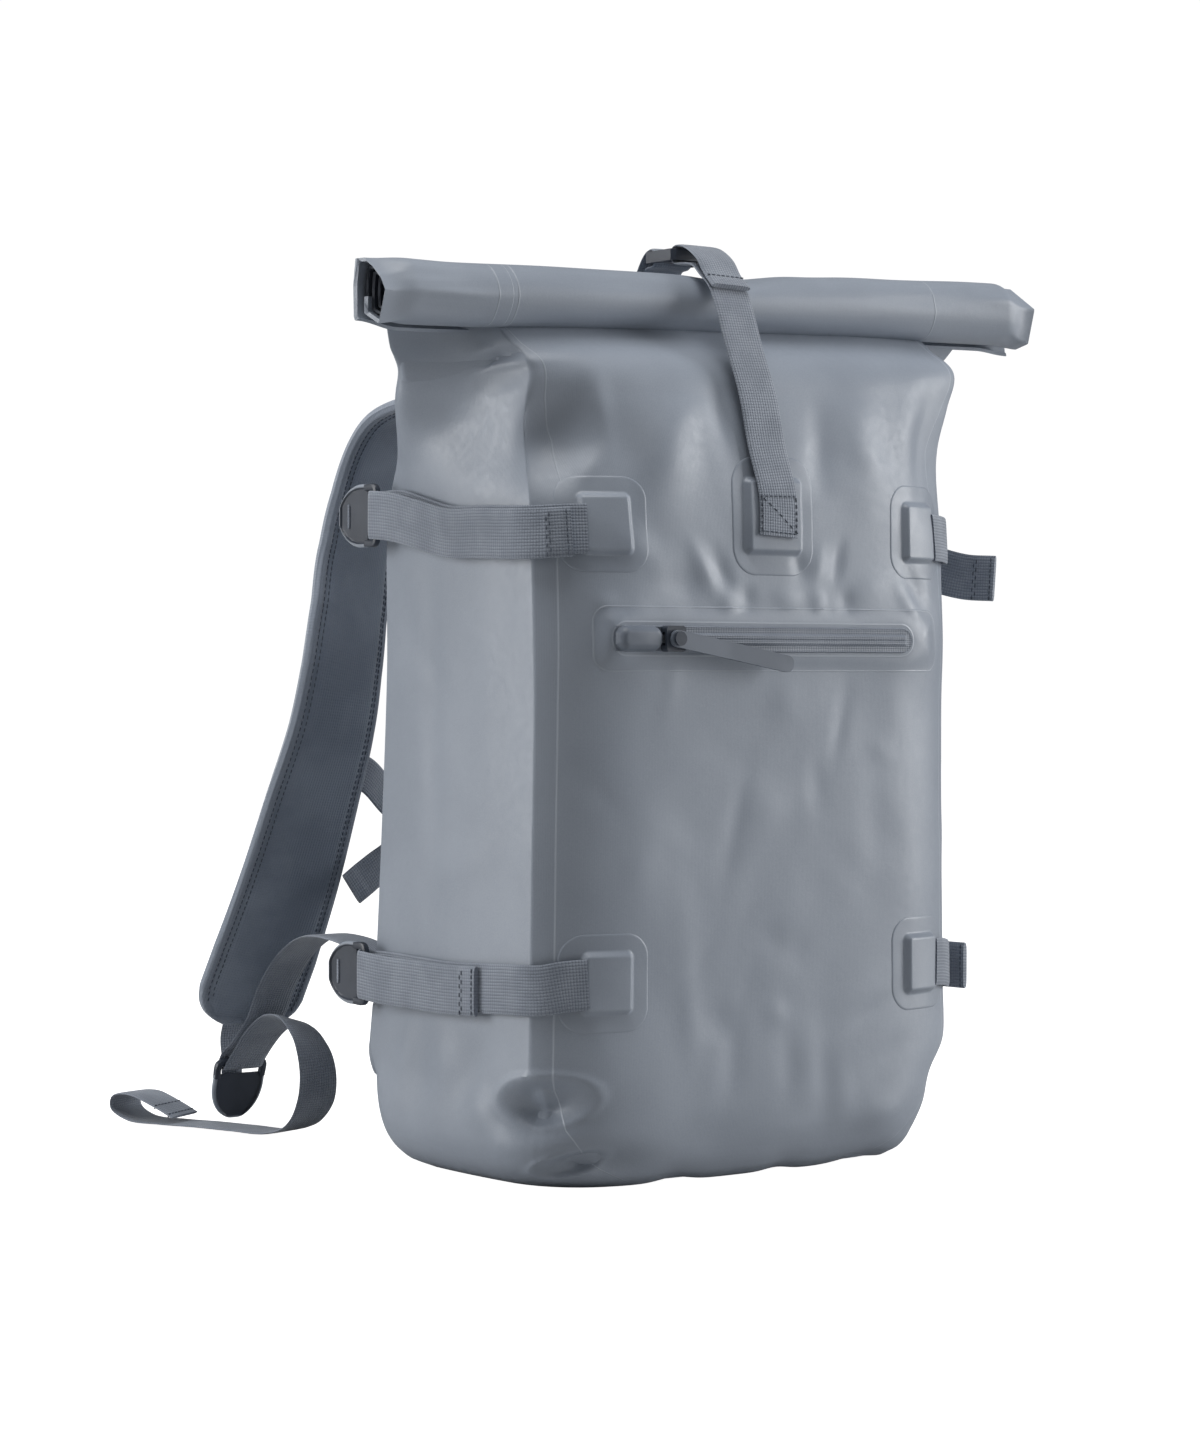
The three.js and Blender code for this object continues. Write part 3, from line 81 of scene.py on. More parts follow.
def noiseAt(tree, vector, scale, detail=2.0, rough=0.5):
    noise = tree.nodes.new("ShaderNodeTexNoise")
    wire(tree, vector, noise.inputs["Vector"])
    wire(tree, scale, noise.inputs["Scale"])
    noise.inputs["Detail"].default_value = detail
    noise.inputs["Roughness"].default_value = rough
    return noise.outputs["Fac"]


def between(tree, value, low, high, toLow=0.0, toHigh=1.0):
    ramp = tree.nodes.new("ShaderNodeMapRange")
    ramp.interpolation_type = "SMOOTHSTEP"
    for name, number in (("Value", value), ("From Min", low), ("From Max", high), ("To Min", toLow),
                         ("To Max", toHigh)):
        wire(tree, number, ramp.inputs[name])
    return ramp.outputs["Result"]


def blendColours(tree, share, first, second):
    mix = tree.nodes.new("ShaderNodeMix")
    mix.data_type = "RGBA"
    wire(tree, share, mix.inputs[0])
    wire(tree, first, mix.inputs[6])
    wire(tree, second, mix.inputs[7])
    return mix.outputs[2]


def startGroup(name, inputs, outputs):
    group = bpy.data.node_groups.new(name, "ShaderNodeTree")
    for label, kind, value in inputs:
        socket = group.interface.new_socket(label, in_out="INPUT", socket_type="NodeSocket" + kind)
        if value is not None:
            socket.default_value = value
    for label, kind in outputs:
        group.interface.new_socket(label, in_out="OUTPUT", socket_type="NodeSocket" + kind)
    return group, group.nodes.new("NodeGroupInput").outputs, group.nodes.new("NodeGroupOutput").inputs


# Cloudy colour: two noises of different size lean the colour from its dark to its light tone.
cloudy, given, made = startGroup("cloudyColour", [
    ("Vector", "Vector", None), ("Dark", "Color", (0.2, 0.2, 0.2, 1)), ("Light", "Color", (0.3, 0.3, 0.3, 1)),
    ("Patch Scale", "Float", 14.0), ("Speck Scale", "Float", 900.0), ("Speck", "Float", 0.2),
], [("Colour", "Color"), ("Speck", "Float")])
broad = between(cloudy, noiseAt(cloudy, given["Vector"], given["Patch Scale"], 3.0), 0.32, 0.68)
speck = noiseAt(cloudy, given["Vector"], given["Speck Scale"], 1.0)
share = calc(cloudy, "MULTIPLY_ADD", calc(cloudy, "SUBTRACT", speck, 0.5), given["Speck"], broad)
wire(cloudy, blendColours(cloudy, share, given["Dark"], given["Light"]), made["Colour"])
wire(cloudy, speck, made["Speck"])

# Woven cloth: sine ribs across and along.
woven, given, made = startGroup("wovenCloth", [
    ("Vector", "Vector", None), ("Across Pitch", "Float", 0.0012), ("Along Pitch", "Float", 0.0011),
], [("Height", "Float"), ("Gaps", "Float")])
split = woven.nodes.new("ShaderNodeSeparateXYZ")
wire(woven, given["Vector"], split.inputs[0])
across = calc(woven, "MULTIPLY", calc(woven, "DIVIDE", split.outputs[0], given["Across Pitch"]), math.pi)
along = calc(woven, "MULTIPLY", calc(woven, "DIVIDE", split.outputs[1], given["Along Pitch"]), math.pi)
warp = calc(woven, "ABSOLUTE", calc(woven, "SINE", across))
weft = calc(woven, "ABSOLUTE", calc(woven, "SINE", along))
wire(woven, calc(woven, "MULTIPLY_ADD", warp, 0.6, calc(woven, "MULTIPLY", weft, 0.4)), made["Height"])
# the gaps mask marks the low lines between threads, where the webbing paints shade
wire(woven, between(woven, calc(woven, "MINIMUM", warp, weft), 0.0, 0.35), made["Gaps"])

# Welded seam: a thin line where the distance is nought and a low step from one side to the other.
weldedSeam, given, made = startGroup("weldedSeam", [
    ("Distance", "Float", 9.0), ("Line Width", "Float", 0.7), ("Step", "Float", 0.3),
], [("Line", "Float"), ("Height", "Float")])
near = calc(weldedSeam, "ABSOLUTE", given["Distance"])
line = between(weldedSeam, near, 0.0, given["Line Width"], 1.0, 0.0)
step = between(weldedSeam, given["Distance"], -0.5, 0.5)
wire(weldedSeam, line, made["Line"])
wire(weldedSeam, calc(weldedSeam, "MULTIPLY_ADD", step, given["Step"],
                      calc(weldedSeam, "MULTIPLY", line, 0.25)), made["Height"])
print("shader groups made")


def placeGroup(tree, group, **values):
    placed = tree.nodes.new("ShaderNodeGroup")
    placed.node_tree = group
    for name, value in values.items():
        wire(tree, value, placed.inputs[name.replace("_", " ")])
    return placed.outputs


def startMaterial(name, settings):
    material = bpy.data.materials.new(name)
    material.use_nodes = True
    tree = material.node_tree
    shader = tree.nodes["Principled BSDF"]
    shader.inputs["Roughness"].default_value = settings["rough"]
    shader.inputs["Specular IOR Level"].default_value = settings.get("shine", 0.5)
    shader.inputs["Sheen Weight"].default_value = settings.get("sheen", 0.0)
    shader.inputs["Sheen Roughness"].default_value = 0.5
    return material, tree, shader, tree.nodes.new("ShaderNodeTexCoord").outputs


def readAttribute(tree, name):
    reader = tree.nodes.new("ShaderNodeAttribute")
    reader.attribute_name = name
    return reader.outputs["Fac"]


def raiseBump(tree, shader, height, depth, strength=1.0):
    bump = tree.nodes.new("ShaderNodeBump")
    bump.inputs["Distance"].default_value = depth * mm
    bump.inputs["Strength"].default_value = strength
    wire(tree, height, bump.inputs["Height"])
    wire(tree, bump.outputs["Normal"], shader.inputs["Normal"])


coatedLook = {"dark": (0.256, 0.290, 0.345, 1), "light": (0.294, 0.330, 0.388, 1), "rough": 0.45,
              "shine": 0.55,
              "line": (0.46, 0.50, 0.56, 1), "patchScale": 11.0, "speck": 1.3}
# near-black tones for the roll's inner coil: painted shade for the dark hollow inside the roll's ends
coilShadeLook = {"dark": (0.018, 0.023, 0.032, 1), "light": (0.036, 0.043, 0.057, 1), "rough": 0.6, "shine": 0.3,
              "line": (0.05, 0.06, 0.08, 1), "patchScale": 20.0, "speck": 1.0}
filmLook = {"dark": (0.240, 0.272, 0.325, 1), "light": (0.276, 0.310, 0.364, 1), "rough": 0.40, "shine": 0.5,
            "line": (0.40, 0.44, 0.50, 1), "patchScale": 16.0, "speck": 1.0}
# the gap tone is painted shade in the low lines between the webbing's threads
webLook = {"dark": (0.205, 0.234, 0.284, 1), "light": (0.262, 0.294, 0.350, 1),
           "gap": (0.120, 0.140, 0.180, 1),
           "rough": 0.72, "sheen": 0.25}
padLook = {"dark": (0.180, 0.214, 0.272, 1), "light": (0.246, 0.286, 0.352, 1),
           "rim": (0.250, 0.285, 0.345, 1),
           "rough": 0.9, "sheen": 0.35}
# the rim tone is a painted highlight: the glint along the rings' bevelled edges
mouldedLook = {"dark": (0.026, 0.034, 0.050, 1), "light": (0.040, 0.050, 0.070, 1),
               "rim": (0.30, 0.335, 0.385, 1), "rough": 0.36, "shine": 0.5}
tapeLook = {"dark": (0.180, 0.206, 0.250, 1), "light": (0.215, 0.243, 0.292, 1), "rough": 0.5}
zipLook = {"dark": (0.120, 0.142, 0.178, 1), "light": (0.150, 0.174, 0.214, 1), "rough": 0.5}
threadLook = {"dark": (0.055, 0.068, 0.092, 1), "light": (0.085, 0.102, 0.132, 1), "rough": 0.7}


def cloudyTone(tree, coords, look, patchScale, speckScale, speck):
    return placeGroup(tree, cloudy, Vector=coords["Object"], Dark=look["dark"], Light=look["light"],
                      Patch_Scale=patchScale, Speck_Scale=speckScale, Speck=speck)


def coatedMaterial(name, look, grain):
    material, tree, shader, coords = startMaterial(name, look)
    tone = cloudyTone(tree, coords, look, look["patchScale"], 1400.0, look["speck"])
    weave = placeGroup(tree, woven, Vector=coords["Object"], Across_Pitch=0.0009, Along_Pitch=0.0009)
    seam = placeGroup(tree, weldedSeam, Distance=readAttribute(tree, "weld"))
    colour = blendColours(tree, calc(tree, "MULTIPLY", seam["Line"], 0.55), tone["Colour"], look["line"])
    wire(tree, colour, shader.inputs["Base Color"])
    soft = noiseAt(tree, coords["Object"], 260.0, 2.0)
    wire(tree, between(tree, soft, 0.2, 0.8, look["rough"] - 0.05, look["rough"] + 0.06),
         shader.inputs["Roughness"])
    height = calc(tree, "MULTIPLY_ADD", weave["Height"], grain, seam["Height"])
    raiseBump(tree, shader, calc(tree, "MULTIPLY_ADD", soft, 0.12, height), 0.45)
    return material


def webMaterial(name, look):
    material, tree, shader, coords = startMaterial(name, look)
    tone = cloudyTone(tree, coords, look, 60.0, 2500.0, 0.9)
    weave = placeGroup(tree, woven, Vector=coords["UV"], Across_Pitch=0.0016, Along_Pitch=0.0015)
    # the weave's gaps take the darker gap tone: painted shade between the threads
    colour = blendColours(tree, weave["Gaps"], look["gap"], tone["Colour"])
    wire(tree, colour, shader.inputs["Base Color"])
    raiseBump(tree, shader, weave["Height"], 0.35)
    return material


def padMaterial(name, look):
    material, tree, shader, coords = startMaterial(name, look)
    tone = cloudyTone(tree, coords, look, 22.0, 1800.0, 0.8)
    knit = placeGroup(tree, woven, Vector=coords["UV"], Across_Pitch=0.0016, Along_Pitch=0.0016)
    rim = readAttribute(tree, "rim")
    colour = blendColours(tree, rim, tone["Colour"], look["rim"])
    wire(tree, colour, shader.inputs["Base Color"])
    raiseBump(tree, shader, knit["Height"], 0.25)
    return material


def plainMaterial(name, look, grain):
    material, tree, shader, coords = startMaterial(name, look)
    tone = cloudyTone(tree, coords, look, 40.0, 3200.0, 0.6)
    colour = tone["Colour"]
    # where the look gives a rim tone, the rim mask blends it in: on the moulded rings this is a painted
    # highlight
    if "rim" in look:
        colour = blendColours(tree, readAttribute(tree, "rim"), colour, look["rim"])
    wire(tree, colour, shader.inputs["Base Color"])
    wire(tree, between(tree, tone["Speck"], 0.25, 0.75, look["rough"] - 0.06, look["rough"] + 0.08),
         shader.inputs["Roughness"])
    raiseBump(tree, shader, tone["Speck"], grain)
    return material


def ribbedMaterial(name, look):
    material, tree, shader, coords = startMaterial(name, look)
    tone = cloudyTone(tree, coords, look, 50.0, 2600.0, 0.5)
    ribs = placeGroup(tree, woven, Vector=coords["UV"], Across_Pitch=0.0011, Along_Pitch=0.0016)
    wire(tree, tone["Colour"], shader.inputs["Base Color"])
    raiseBump(tree, shader, ribs["Height"], 0.2)
    return material


coatedFabric = coatedMaterial("coatedFabric", coatedLook, 0.05)
coilShadeFabric = coatedMaterial("coilShadeFabric", coilShadeLook, 0.02)
weldedFilm = coatedMaterial("weldedFilm", filmLook, 0.02)
wovenWebbing = webMaterial("wovenWebbing", webLook)
padFabric = padMaterial("padFabric", padLook)
mouldedPlastic = plainMaterial("mouldedPlastic", mouldedLook, 0.03)
zipRubber = plainMaterial("zipRubber", zipLook, 0.02)
zipTape = ribbedMaterial("zipTape", tapeLook)
sewingThread = plainMaterial("sewingThread", threadLook, 0.05)
print("materials made")

# Meshes are put together from shapes: points, faces of four, odd faces, flat coordinates and masks.


def gridShape(points, flat=None, around=False, masks=None, capEnds=False):
    rows, columns = points.shape[:2]
    r, c = np.meshgrid(np.arange(rows - 1), np.arange(columns if around else columns - 1), indexing="ij")
    after = (c + 1) % columns
    low, high = r * columns, (r + 1) * columns
    quads = np.stack([low + c, low + after, high + after, high + c], -1)
    ends = [list(range(columns)), list(range((rows - 1) * columns, rows * columns))] if capEnds else []
    shape = {"points": points.reshape(-1, 3), "quads": quads.reshape(-1, 4), "ends": ends}
    flat = np.zeros(2) if flat is None else flat
    shape["flat"] = np.broadcast_to(flat, (rows, columns, 2)).reshape(-1, 2)
    shape["masks"] = {name: np.broadcast_to(mask, (rows, columns)).ravel()
                      for name, mask in (masks or {}).items()}
    return shape


def sheetSides(points, back):
    edges = np.stack([points, back])
    return [gridShape(edges[:, 0]), gridShape(edges[:, -1]), gridShape(edges[:, :, 0]),
            gridShape(edges[:, :, -1])]


def joinShapes(shapes):
    starts = np.cumsum([0] + [len(s["points"]) for s in shapes])
    names = {name for s in shapes for name in s["masks"]}
    return {
        "points": np.concatenate([s["points"] for s in shapes]),
        "quads": np.concatenate([s["quads"] + start for s, start in zip(shapes, starts)]),
        "ends": [[i + int(start) for i in end] for s, start in zip(shapes, starts) for end in s["ends"]],
        "flat": np.concatenate([s["flat"] for s in shapes]),
        "masks": {name: np.concatenate([s["masks"].get(name, np.zeros(len(s["points"]))) for s in shapes])
                  for name in names},
    }


def mirrorShape(shape):
    return {**shape, "points": shape["points"] * np.array([-1, 1, 1])}


def putPiece(name, shape, material, nodes=(), body="pack", sharp=40):
    mesh = bpy.data.meshes.new(name)
    mesh.from_pydata((shape["points"] * mm).tolist(), [], shape["quads"].tolist() + shape["ends"])
    corners = np.empty(len(mesh.loops), np.int32)
    mesh.loops.foreach_get("vertex_index", corners)
    flat = mesh.uv_layers.new(name="cloth")
    flat.data.foreach_set("uv", (shape["flat"][corners] * mm).astype(np.float32).ravel())
    for mask, values in shape["masks"].items():
        layer = mesh.attributes.new(mask, "FLOAT", "POINT")
        layer.data.foreach_set("value", values.astype(np.float32))
    work = bmesh.new()
    work.from_mesh(mesh)
    bmesh.ops.remove_doubles(work, verts=work.verts, dist=0.004 * mm)
    bmesh.ops.recalc_face_normals(work, faces=work.faces)
    work.to_mesh(mesh)
    work.free()
    mesh.shade_smooth()
    mesh.set_sharp_from_angle(angle=math.radians(sharp))
    mesh.materials.append(material)
    piece = bpy.data.objects.new(name, mesh)
    bpy.context.scene.collection.objects.link(piece)
    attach(piece, body)
    if nodes:
        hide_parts(*nodes)
    return piece


def putPair(name, shape, material, node=None):
    # the given shape is the left piece, its mirror the right one
    for side, turned in (("left", shape), ("right", mirrorShape(shape))):
        putPiece(name + "_" + side, turned, material, [node + "_" + side] if node else [])


def ramp(value, low, high):
    t = np.clip((value - low) / (high - low), 0, 1)
    return t * t * (3 - 2 * t)


def unit(vectors):
    return vectors / np.maximum(np.linalg.norm(vectors, axis=-1, keepdims=True), 1e-9)


def rounded(x, y, halfX, halfY, corner):
    # distance to a rounded rectangle's edge, minus inside
    qx, qy = np.abs(x) - halfX + corner, np.abs(y) - halfY + corner
    return np.hypot(np.maximum(qx, 0), np.maximum(qy, 0)) + np.minimum(np.maximum(qx, qy), 0) - corner


# The body: a table of sections from base to neck, as shares of the sizes below it.
bodySize = {"halfWidth": 136.0, "depth": 156.0, "neckHeight": 431.0, "wall": 1.8, "neckHalf": 4.6,
            "slant": 5.0, "crownPower": 6, "crease": 0.12, "spread": 16.0, "intoRoll": 7.0}
halfWidth, neckHeight = bodySize["halfWidth"], bodySize["neckHeight"]
sectionNames = ("rise", "width", "front", "crown", "back", "tip", "pinch", "round", "shift", "lean")
bodySections = np.array([
    (0.000, 0.850, 0.270, 0.125, 0.420, 0.020, 0.00, 0.34, -0.05, 0.000),
    (0.010, 0.912, 0.300, 0.130, 0.455, 0.020, 0.00, 0.32, -0.06, 0.000),
    (0.032, 0.955, 0.325, 0.138, 0.488, 0.020, 0.00, 0.28, -0.072, 0.000),
    (0.068, 0.985, 0.338, 0.145, 0.518, 0.020, 0.00, 0.22, -0.058, 0.000),
    (0.125, 1.008, 0.340, 0.148, 0.528, 0.020, 0.00, 0.15, -0.022, 0.000),
    (0.220, 1.004, 0.334, 0.147, 0.508, 0.020, 0.00, 0.10, -0.014, 0.000),
    (0.400, 0.996, 0.328, 0.146, 0.486, 0.020, 0.00, 0.09, -0.008, 0.000),
    (0.600, 0.990, 0.324, 0.145, 0.470, 0.020, 0.00, 0.09, 0.00, 0.000),
    (0.740, 0.998, 0.316, 0.143, 0.460, 0.025, 0.00, 0.10, 0.00, 0.000),
    (0.810, 1.008, 0.302, 0.138, 0.435, 0.040, 0.05, 0.11, 0.010, 0.000),
    (0.870, 1.020, 0.276, 0.126, 0.385, 0.060, 0.12, 0.11, 0.040, 0.000),
    (0.920, 1.036, 0.246, 0.102, 0.305, 0.100, 0.30, 0.10, 0.085, -0.006),
    (0.960, 1.048, 0.216, 0.072, 0.250, 0.135, 0.50, 0.08, 0.120, -0.012),
    (0.985, 1.040, 0.140, 0.040, 0.150, 0.205, 0.80, 0.05, 0.090, -0.022),
    (1.000, 1.030, 0.030, 0.010, 0.010, 0.270, 1.00, 0.02, 0.050, -0.030),
])
# Broad dents shared with the frame: place round the body, rise, half sizes, push, slope.
bodyDents = np.array([
    (-0.98, 0.086, 0.15, 0.024, -0.060, 0.0), (-0.76, 0.036, 0.18, 0.016, -0.040, -0.1),
    (-0.88, 0.870, 0.20, 0.070, -0.055, 0.2), (0.90, 0.870, 0.18, 0.070, -0.045, -0.2),
    (-0.45, 0.880, 0.12, 0.075, 0.020, 0.7), (0.45, 0.880, 0.12, 0.075, 0.020, -0.7),
    (0.62, 0.055, 0.16, 0.034, 0.022, 0.2), (1.02, 0.100, 0.12, 0.024, -0.035, 0.0),
    (-1.50, 0.900, 0.22, 0.030, -0.025, 0.0),
])
# Small folds read from the photo, in mm: place across the flattened panel, height, half sizes, push
# and turn in degrees.
smallFolds = np.array([
    (-103, 394, 6, 20, 2.0, 12), (-108, 359, 6, 12, 2.0, -38), (-88, 372, 10, 22, -1.9, 6),
    (-68, 370, 14, 26, 1.7, -14),
    (-52, 390, 16, 10, 0.8, 20), (-33, 388, 5, 13, -1.0, 18), (-23, 384, 5, 14, 1.0, 14),
    (32, 372, 8, 20, -1.6, 4),
    (44, 394, 20, 9, 0.7, -18), (76, 376, 22, 10, -1.0, -48), (96, 386, 10, 22, 1.2, -12),
    (108, 372, 6, 26, -0.8, -6),
    (-46, 309, 5, 13, 1.3, 28), (-33, 306, 5, 12, -1.3, 26), (-60, 300, 14, 9, -1.2, 0),
    (-106, 291, 6, 5, 1.0, 0),
    (-30, 293, 6, 8, 1.1, -10), (-18, 294, 5, 6, -1.0, 0), (8, 294, 9, 6, 1.0, 0), (29, 293, 5, 6, 1.0, 0),
    (17, 311, 5, 7, -1.1, 10),
    (30, 312, 4, 9, 1.0, -16), (43, 313, 4, 10, -1.2, -14), (48, 293, 5, 6, -1.0, 0),
    (66, 300, 16, 8, 1.0, 24),
    (100, 300, 13, 6, -1.8, -52), (92, 292, 12, 5, 1.1, -50), (-88, 318, 10, 9, 0.8, 0),
    (8, 241, 12, 12, 0.7, 0), (44, 228, 5, 18, -0.7, -14), (28, 198, 8, 14, -0.7, 10),
    (-12, 190, 14, 20, 0.5, -20),
    (-26, 178, 6, 26, -0.7, -14), (84, 240, 14, 34, 0.7, 0), (68, 180, 10, 40, -0.6, 6),
    (96, 152, 12, 30, 0.7, 8),
    (-78, 214, 16, 24, -0.5, 0), (-84, 160, 12, 30, 0.6, -8), (-54, 166, 14, 30, -0.5, 10),
    (12, 140, 14, 26, 0.5, -12),
    (-54, 82, 7, 22, 0.7, 4), (-36, 80, 8, 9, -0.7, 0), (2, 82, 7, 6, 0.6, 0), (64, 80, 14, 4, -0.6, 28),
    (56, 90, 16, 5, 0.4, 24),
    (-27, 58, 7, 16, -0.7, -4), (-40, 54, 9, 20, 0.5, -6), (10, 55, 7, 18, -0.7, 8), (24, 60, 8, 18, 0.6, 4),
    (36, 46, 8, 17, -1.0, 22),
    (50, 34, 10, 16, 1.1, 28), (78, 58, 14, 8, -0.6, 30), (94, 40, 14, 14, 0.6, 20),
    (-66, 54, 20, 18, 0.5, 12),
    (-40, 24, 20, 8, -0.6, 0), (20, 22, 18, 8, 0.6, 0), (70, 16, 18, 8, -0.9, 0),
    (-163, 424, 36, 2.2, 2.6, 6), (-158, 419.5, 36, 1.7, -2.4, 5), (-160, 414.5, 30, 2.4, 1.6, 2),
    (-176, 417, 16, 1.6, -1.8, 15),
    (-172, 404, 26, 6, -1.0, 10), (-196, 392, 26, 7, 0.7, -10),
    (-203, 60, 12, 20, 1.6, 28), (-184, 52, 12, 26, -1.6, -34), (-222, 44, 14, 24, -1.4, -24),
    (-236, 60, 8, 26, 1.2, -14),
    (-168, 38, 14, 10, 1.2, -30), (-190, 160, 24, 9, 0.6, 24), (-222, 240, 10, 90, -0.6, 2),
    (-172, 250, 12, 80, 0.5, 0),
    (196, 396, 28, 5, -2.2, 10), (180, 380, 24, 6, 1.6, -12), (190, 80, 24, 14, -1.2, 10),
    (-98, 273, 32, 24, 3.2, 0), (100, 273, 30, 24, 3.6, 0), (0, 273, 80, 24, 1.0, 0),
    (176, 240, 16, 70, 0.8, 0), (340, 380, 40, 10, -1.6, 6), (-340, 382, 40, 10, 1.6, -6),
])
# Pressed-in dents with a crisp rim, in mm: place across, height, half sizes, depth, turn in degrees
# and the ridge down the middle.
pressedDents = np.array([
    (-132, 45, 25, 12.5, 5.5, 4, 1.6), (-118, 13, 21, 6.0, 3.6, 12, 0.4),
])


# The dip at the left of the neck, pushed straight back, in mm.
shoulderDip = {"place": -124, "height": 374, "span": 20, "tall": 22, "push": 11}

# A fine crumple over the whole bag, its small folds strewn by a fixed draw.
crumple = {"seed": 11, "count": 230, "reach": 262.0, "low": 14.0, "high": 408.0, "span": (5.0, 15.0),
           "tall": (8.0, 30.0), "push": 0.42}


def strewnFolds(settings):
    draw = np.random.default_rng(settings["seed"])
    count = settings["count"]
    place = draw.uniform(-settings["reach"], settings["reach"], count)
    height = draw.uniform(settings["low"], settings["high"], count)
    span, tall = draw.uniform(*settings["span"], count), draw.uniform(*settings["tall"], count)
    push = draw.uniform(-1, 1, count) * settings["push"] * np.where(np.abs(place) < 136, 1.0, 0.55)
    return np.column_stack([place, height, span, tall, push, draw.uniform(-70, 70, count)])


allFolds = np.vstack([smallFolds, strewnFolds(crumple)])


def tableAt(table, place):
    # each column follows a cubic through its rows, its slope at a row taken across both neighbours
    place = np.clip(np.asarray(place, float), table[0, 0], table[-1, 0])
    knots = table[:, 0]
    low = np.clip(np.searchsorted(knots, place, side="left") - 1, 0, len(knots) - 2)
    before, after = np.maximum(low - 1, 0), np.minimum(low + 2, len(knots) - 1)
    span = (knots[low + 1] - knots[low])[..., None]
    t = (place - knots[low])[..., None] / span
    startSlope = (table[low + 1] - table[before]) / (knots[low + 1] - knots[before])[..., None] * span
    endSlope = (table[after] - table[low]) / (knots[after] - knots[low])[..., None] * span
    return ((2 * t ** 3 - 3 * t ** 2 + 1) * table[low] + (t ** 3 - 2 * t ** 2 + t) * startSlope
            + (3 * t ** 2 - 2 * t ** 3) * table[low + 1] + (t ** 3 - t ** 2) * endSlope)


def sectionAt(rise):
    values = tableAt(bodySections, rise)
    return {name: values[..., i] for i, name in enumerate(sectionNames)}


def sharpOutline(around, section, inset):
    # front: a flat-topped crown; side: a straight or bowed line to the fold; back: straight
    wrapped = np.mod(around + 3, 6) - 3
    v, side = np.abs(wrapped), np.where(wrapped < 0, -1.0, 1.0)
    front = bodySize["neckHalf"] + section["front"] * bodySize["depth"] - inset
    back = bodySize["neckHalf"] + section["back"] * bodySize["depth"] - inset
    width = section["width"] * halfWidth - inset * (1 - section["pinch"])
    tip = section["tip"] * bodySize["depth"] * (1 - section["pinch"] * inset / ((front + back) / 2 + inset))
    t = np.clip(v - 1, 0, 1)
    skewed = t ** (1 + 2.2 * ramp(section["rise"], 0.80, 0.92))
    bow = tip * (1 - np.abs(2 * skewed - 1) ** (2 - section["pinch"]))
    crown = section["crown"] * bodySize["depth"] * (1 - np.minimum(v, 1) ** bodySize["crownPower"])
    spread = bodySize["spread"] * ramp(section["rise"], 0.84, 0.95)
    atBack = width * (3 - v) + spread * np.clip((2.25 - v) / 0.25, 0, 1) ** 2
    x = np.where(v <= 1, width * v, np.where(v <= 2, width + bow + spread * t, atBack))
    y = np.where(v <= 1, -(front + crown), np.where(v <= 2, -front + (front + back) * t, back))
    return side * x, y


def roundedOutline(around, section, inset):
    # the sharp outline averaged over a short reach, which rounds its corners
    reach = section["round"] * bodySize["depth"] / halfWidth / 2
    creased = ramp(section["rise"], 0.10, 0.15) * (1 - 0.5 * ramp(section["rise"], 0.84, 0.95))
    sharpen = 1 - (1 - bodySize["crease"]) * creased
    shares = (-1, -0.66, -0.33, 0, 0.33, 0.66, 1)
    samples = [sharpOutline(around + s * reach * sharpen, section, inset) for s in shares]
    x, y = np.mean([s[0] for s in samples], 0), np.mean([s[1] for s in samples], 0)
    return x + section["shift"] * halfWidth, y + section["lean"] * bodySize["depth"]


def dentPush(around, rise):
    push = np.zeros(np.broadcast(around, rise).shape)
    for place, height, span, tall, depth, slope in bodyDents:
        a = (around - place) / span
        b = (rise - height - slope * (around - place) * 0.2) / tall
        push += depth * bodySize["depth"] * np.exp(-(a * a + b * b))
    return push


def turnedPlace(u, w, place, height, span, tall, turn):
    c, s = math.cos(math.radians(turn)), math.sin(math.radians(turn))
    return ((u - place) * c + (w - height) * s) / span, (-(u - place) * s + (w - height) * c) / tall


def foldPush(around, rise):
    # every fold is a long bell turned in the panel's plane
    u, w = around * halfWidth, rise * neckHeight
    push = np.zeros(np.broadcast(u, w).shape)
    for place, height, span, tall, depth, turn in allFolds:
        a, b = turnedPlace(u, w, place, height, span, tall, turn)
        push += depth * np.exp(-(a * a + b * b))
    for place, height, span, tall, depth, turn, ridge in pressedDents:
        a, b = turnedPlace(u, w, place, height, span, tall, turn)
        far = np.hypot(a, b)
        rim = 0.22 * np.exp(-((far - 1.08) / 0.14) ** 2)
        push += (rim - (1 - ramp(far, 0.42, 1.0))) * depth + ridge * np.exp(-(a / 0.2) ** 2 - b * b)
    return push


def bodyPoint(around, rise, lift=0.0, inset=0.0, folds=1.0):
    around, rise = np.broadcast_arrays(np.asarray(around, float), np.asarray(rise, float))
    section = sectionAt(rise)
    x, y = roundedOutline(around, section, inset)
    x0, y0 = roundedOutline(around - 0.02, section, 0)
    x1, y1 = roundedOutline(around + 0.02, section, 0)
    length = np.maximum(np.hypot(x1 - x0, y1 - y0), 1e-9)
    nx, ny = (y1 - y0) / length, -(x1 - x0) / length
    dents = dentPush(around, rise) * (1 - section["pinch"])
    off = lift + dents + folds * foldPush(around, rise) * (1 - 0.45 * section["pinch"])
    z = rise * neckHeight + bodySize["slant"] * x / halfWidth * ramp(rise, 0.75, 1)
    u, w = around * halfWidth, rise * neckHeight
    pressed = shoulderDip["push"] * np.exp(-((u - shoulderDip["place"]) / shoulderDip["span"]) ** 2
                                           - ((w - shoulderDip["height"]) / shoulderDip["tall"]) ** 2)
    return np.stack([x + nx * off, y + ny * off + folds * pressed, z], -1)


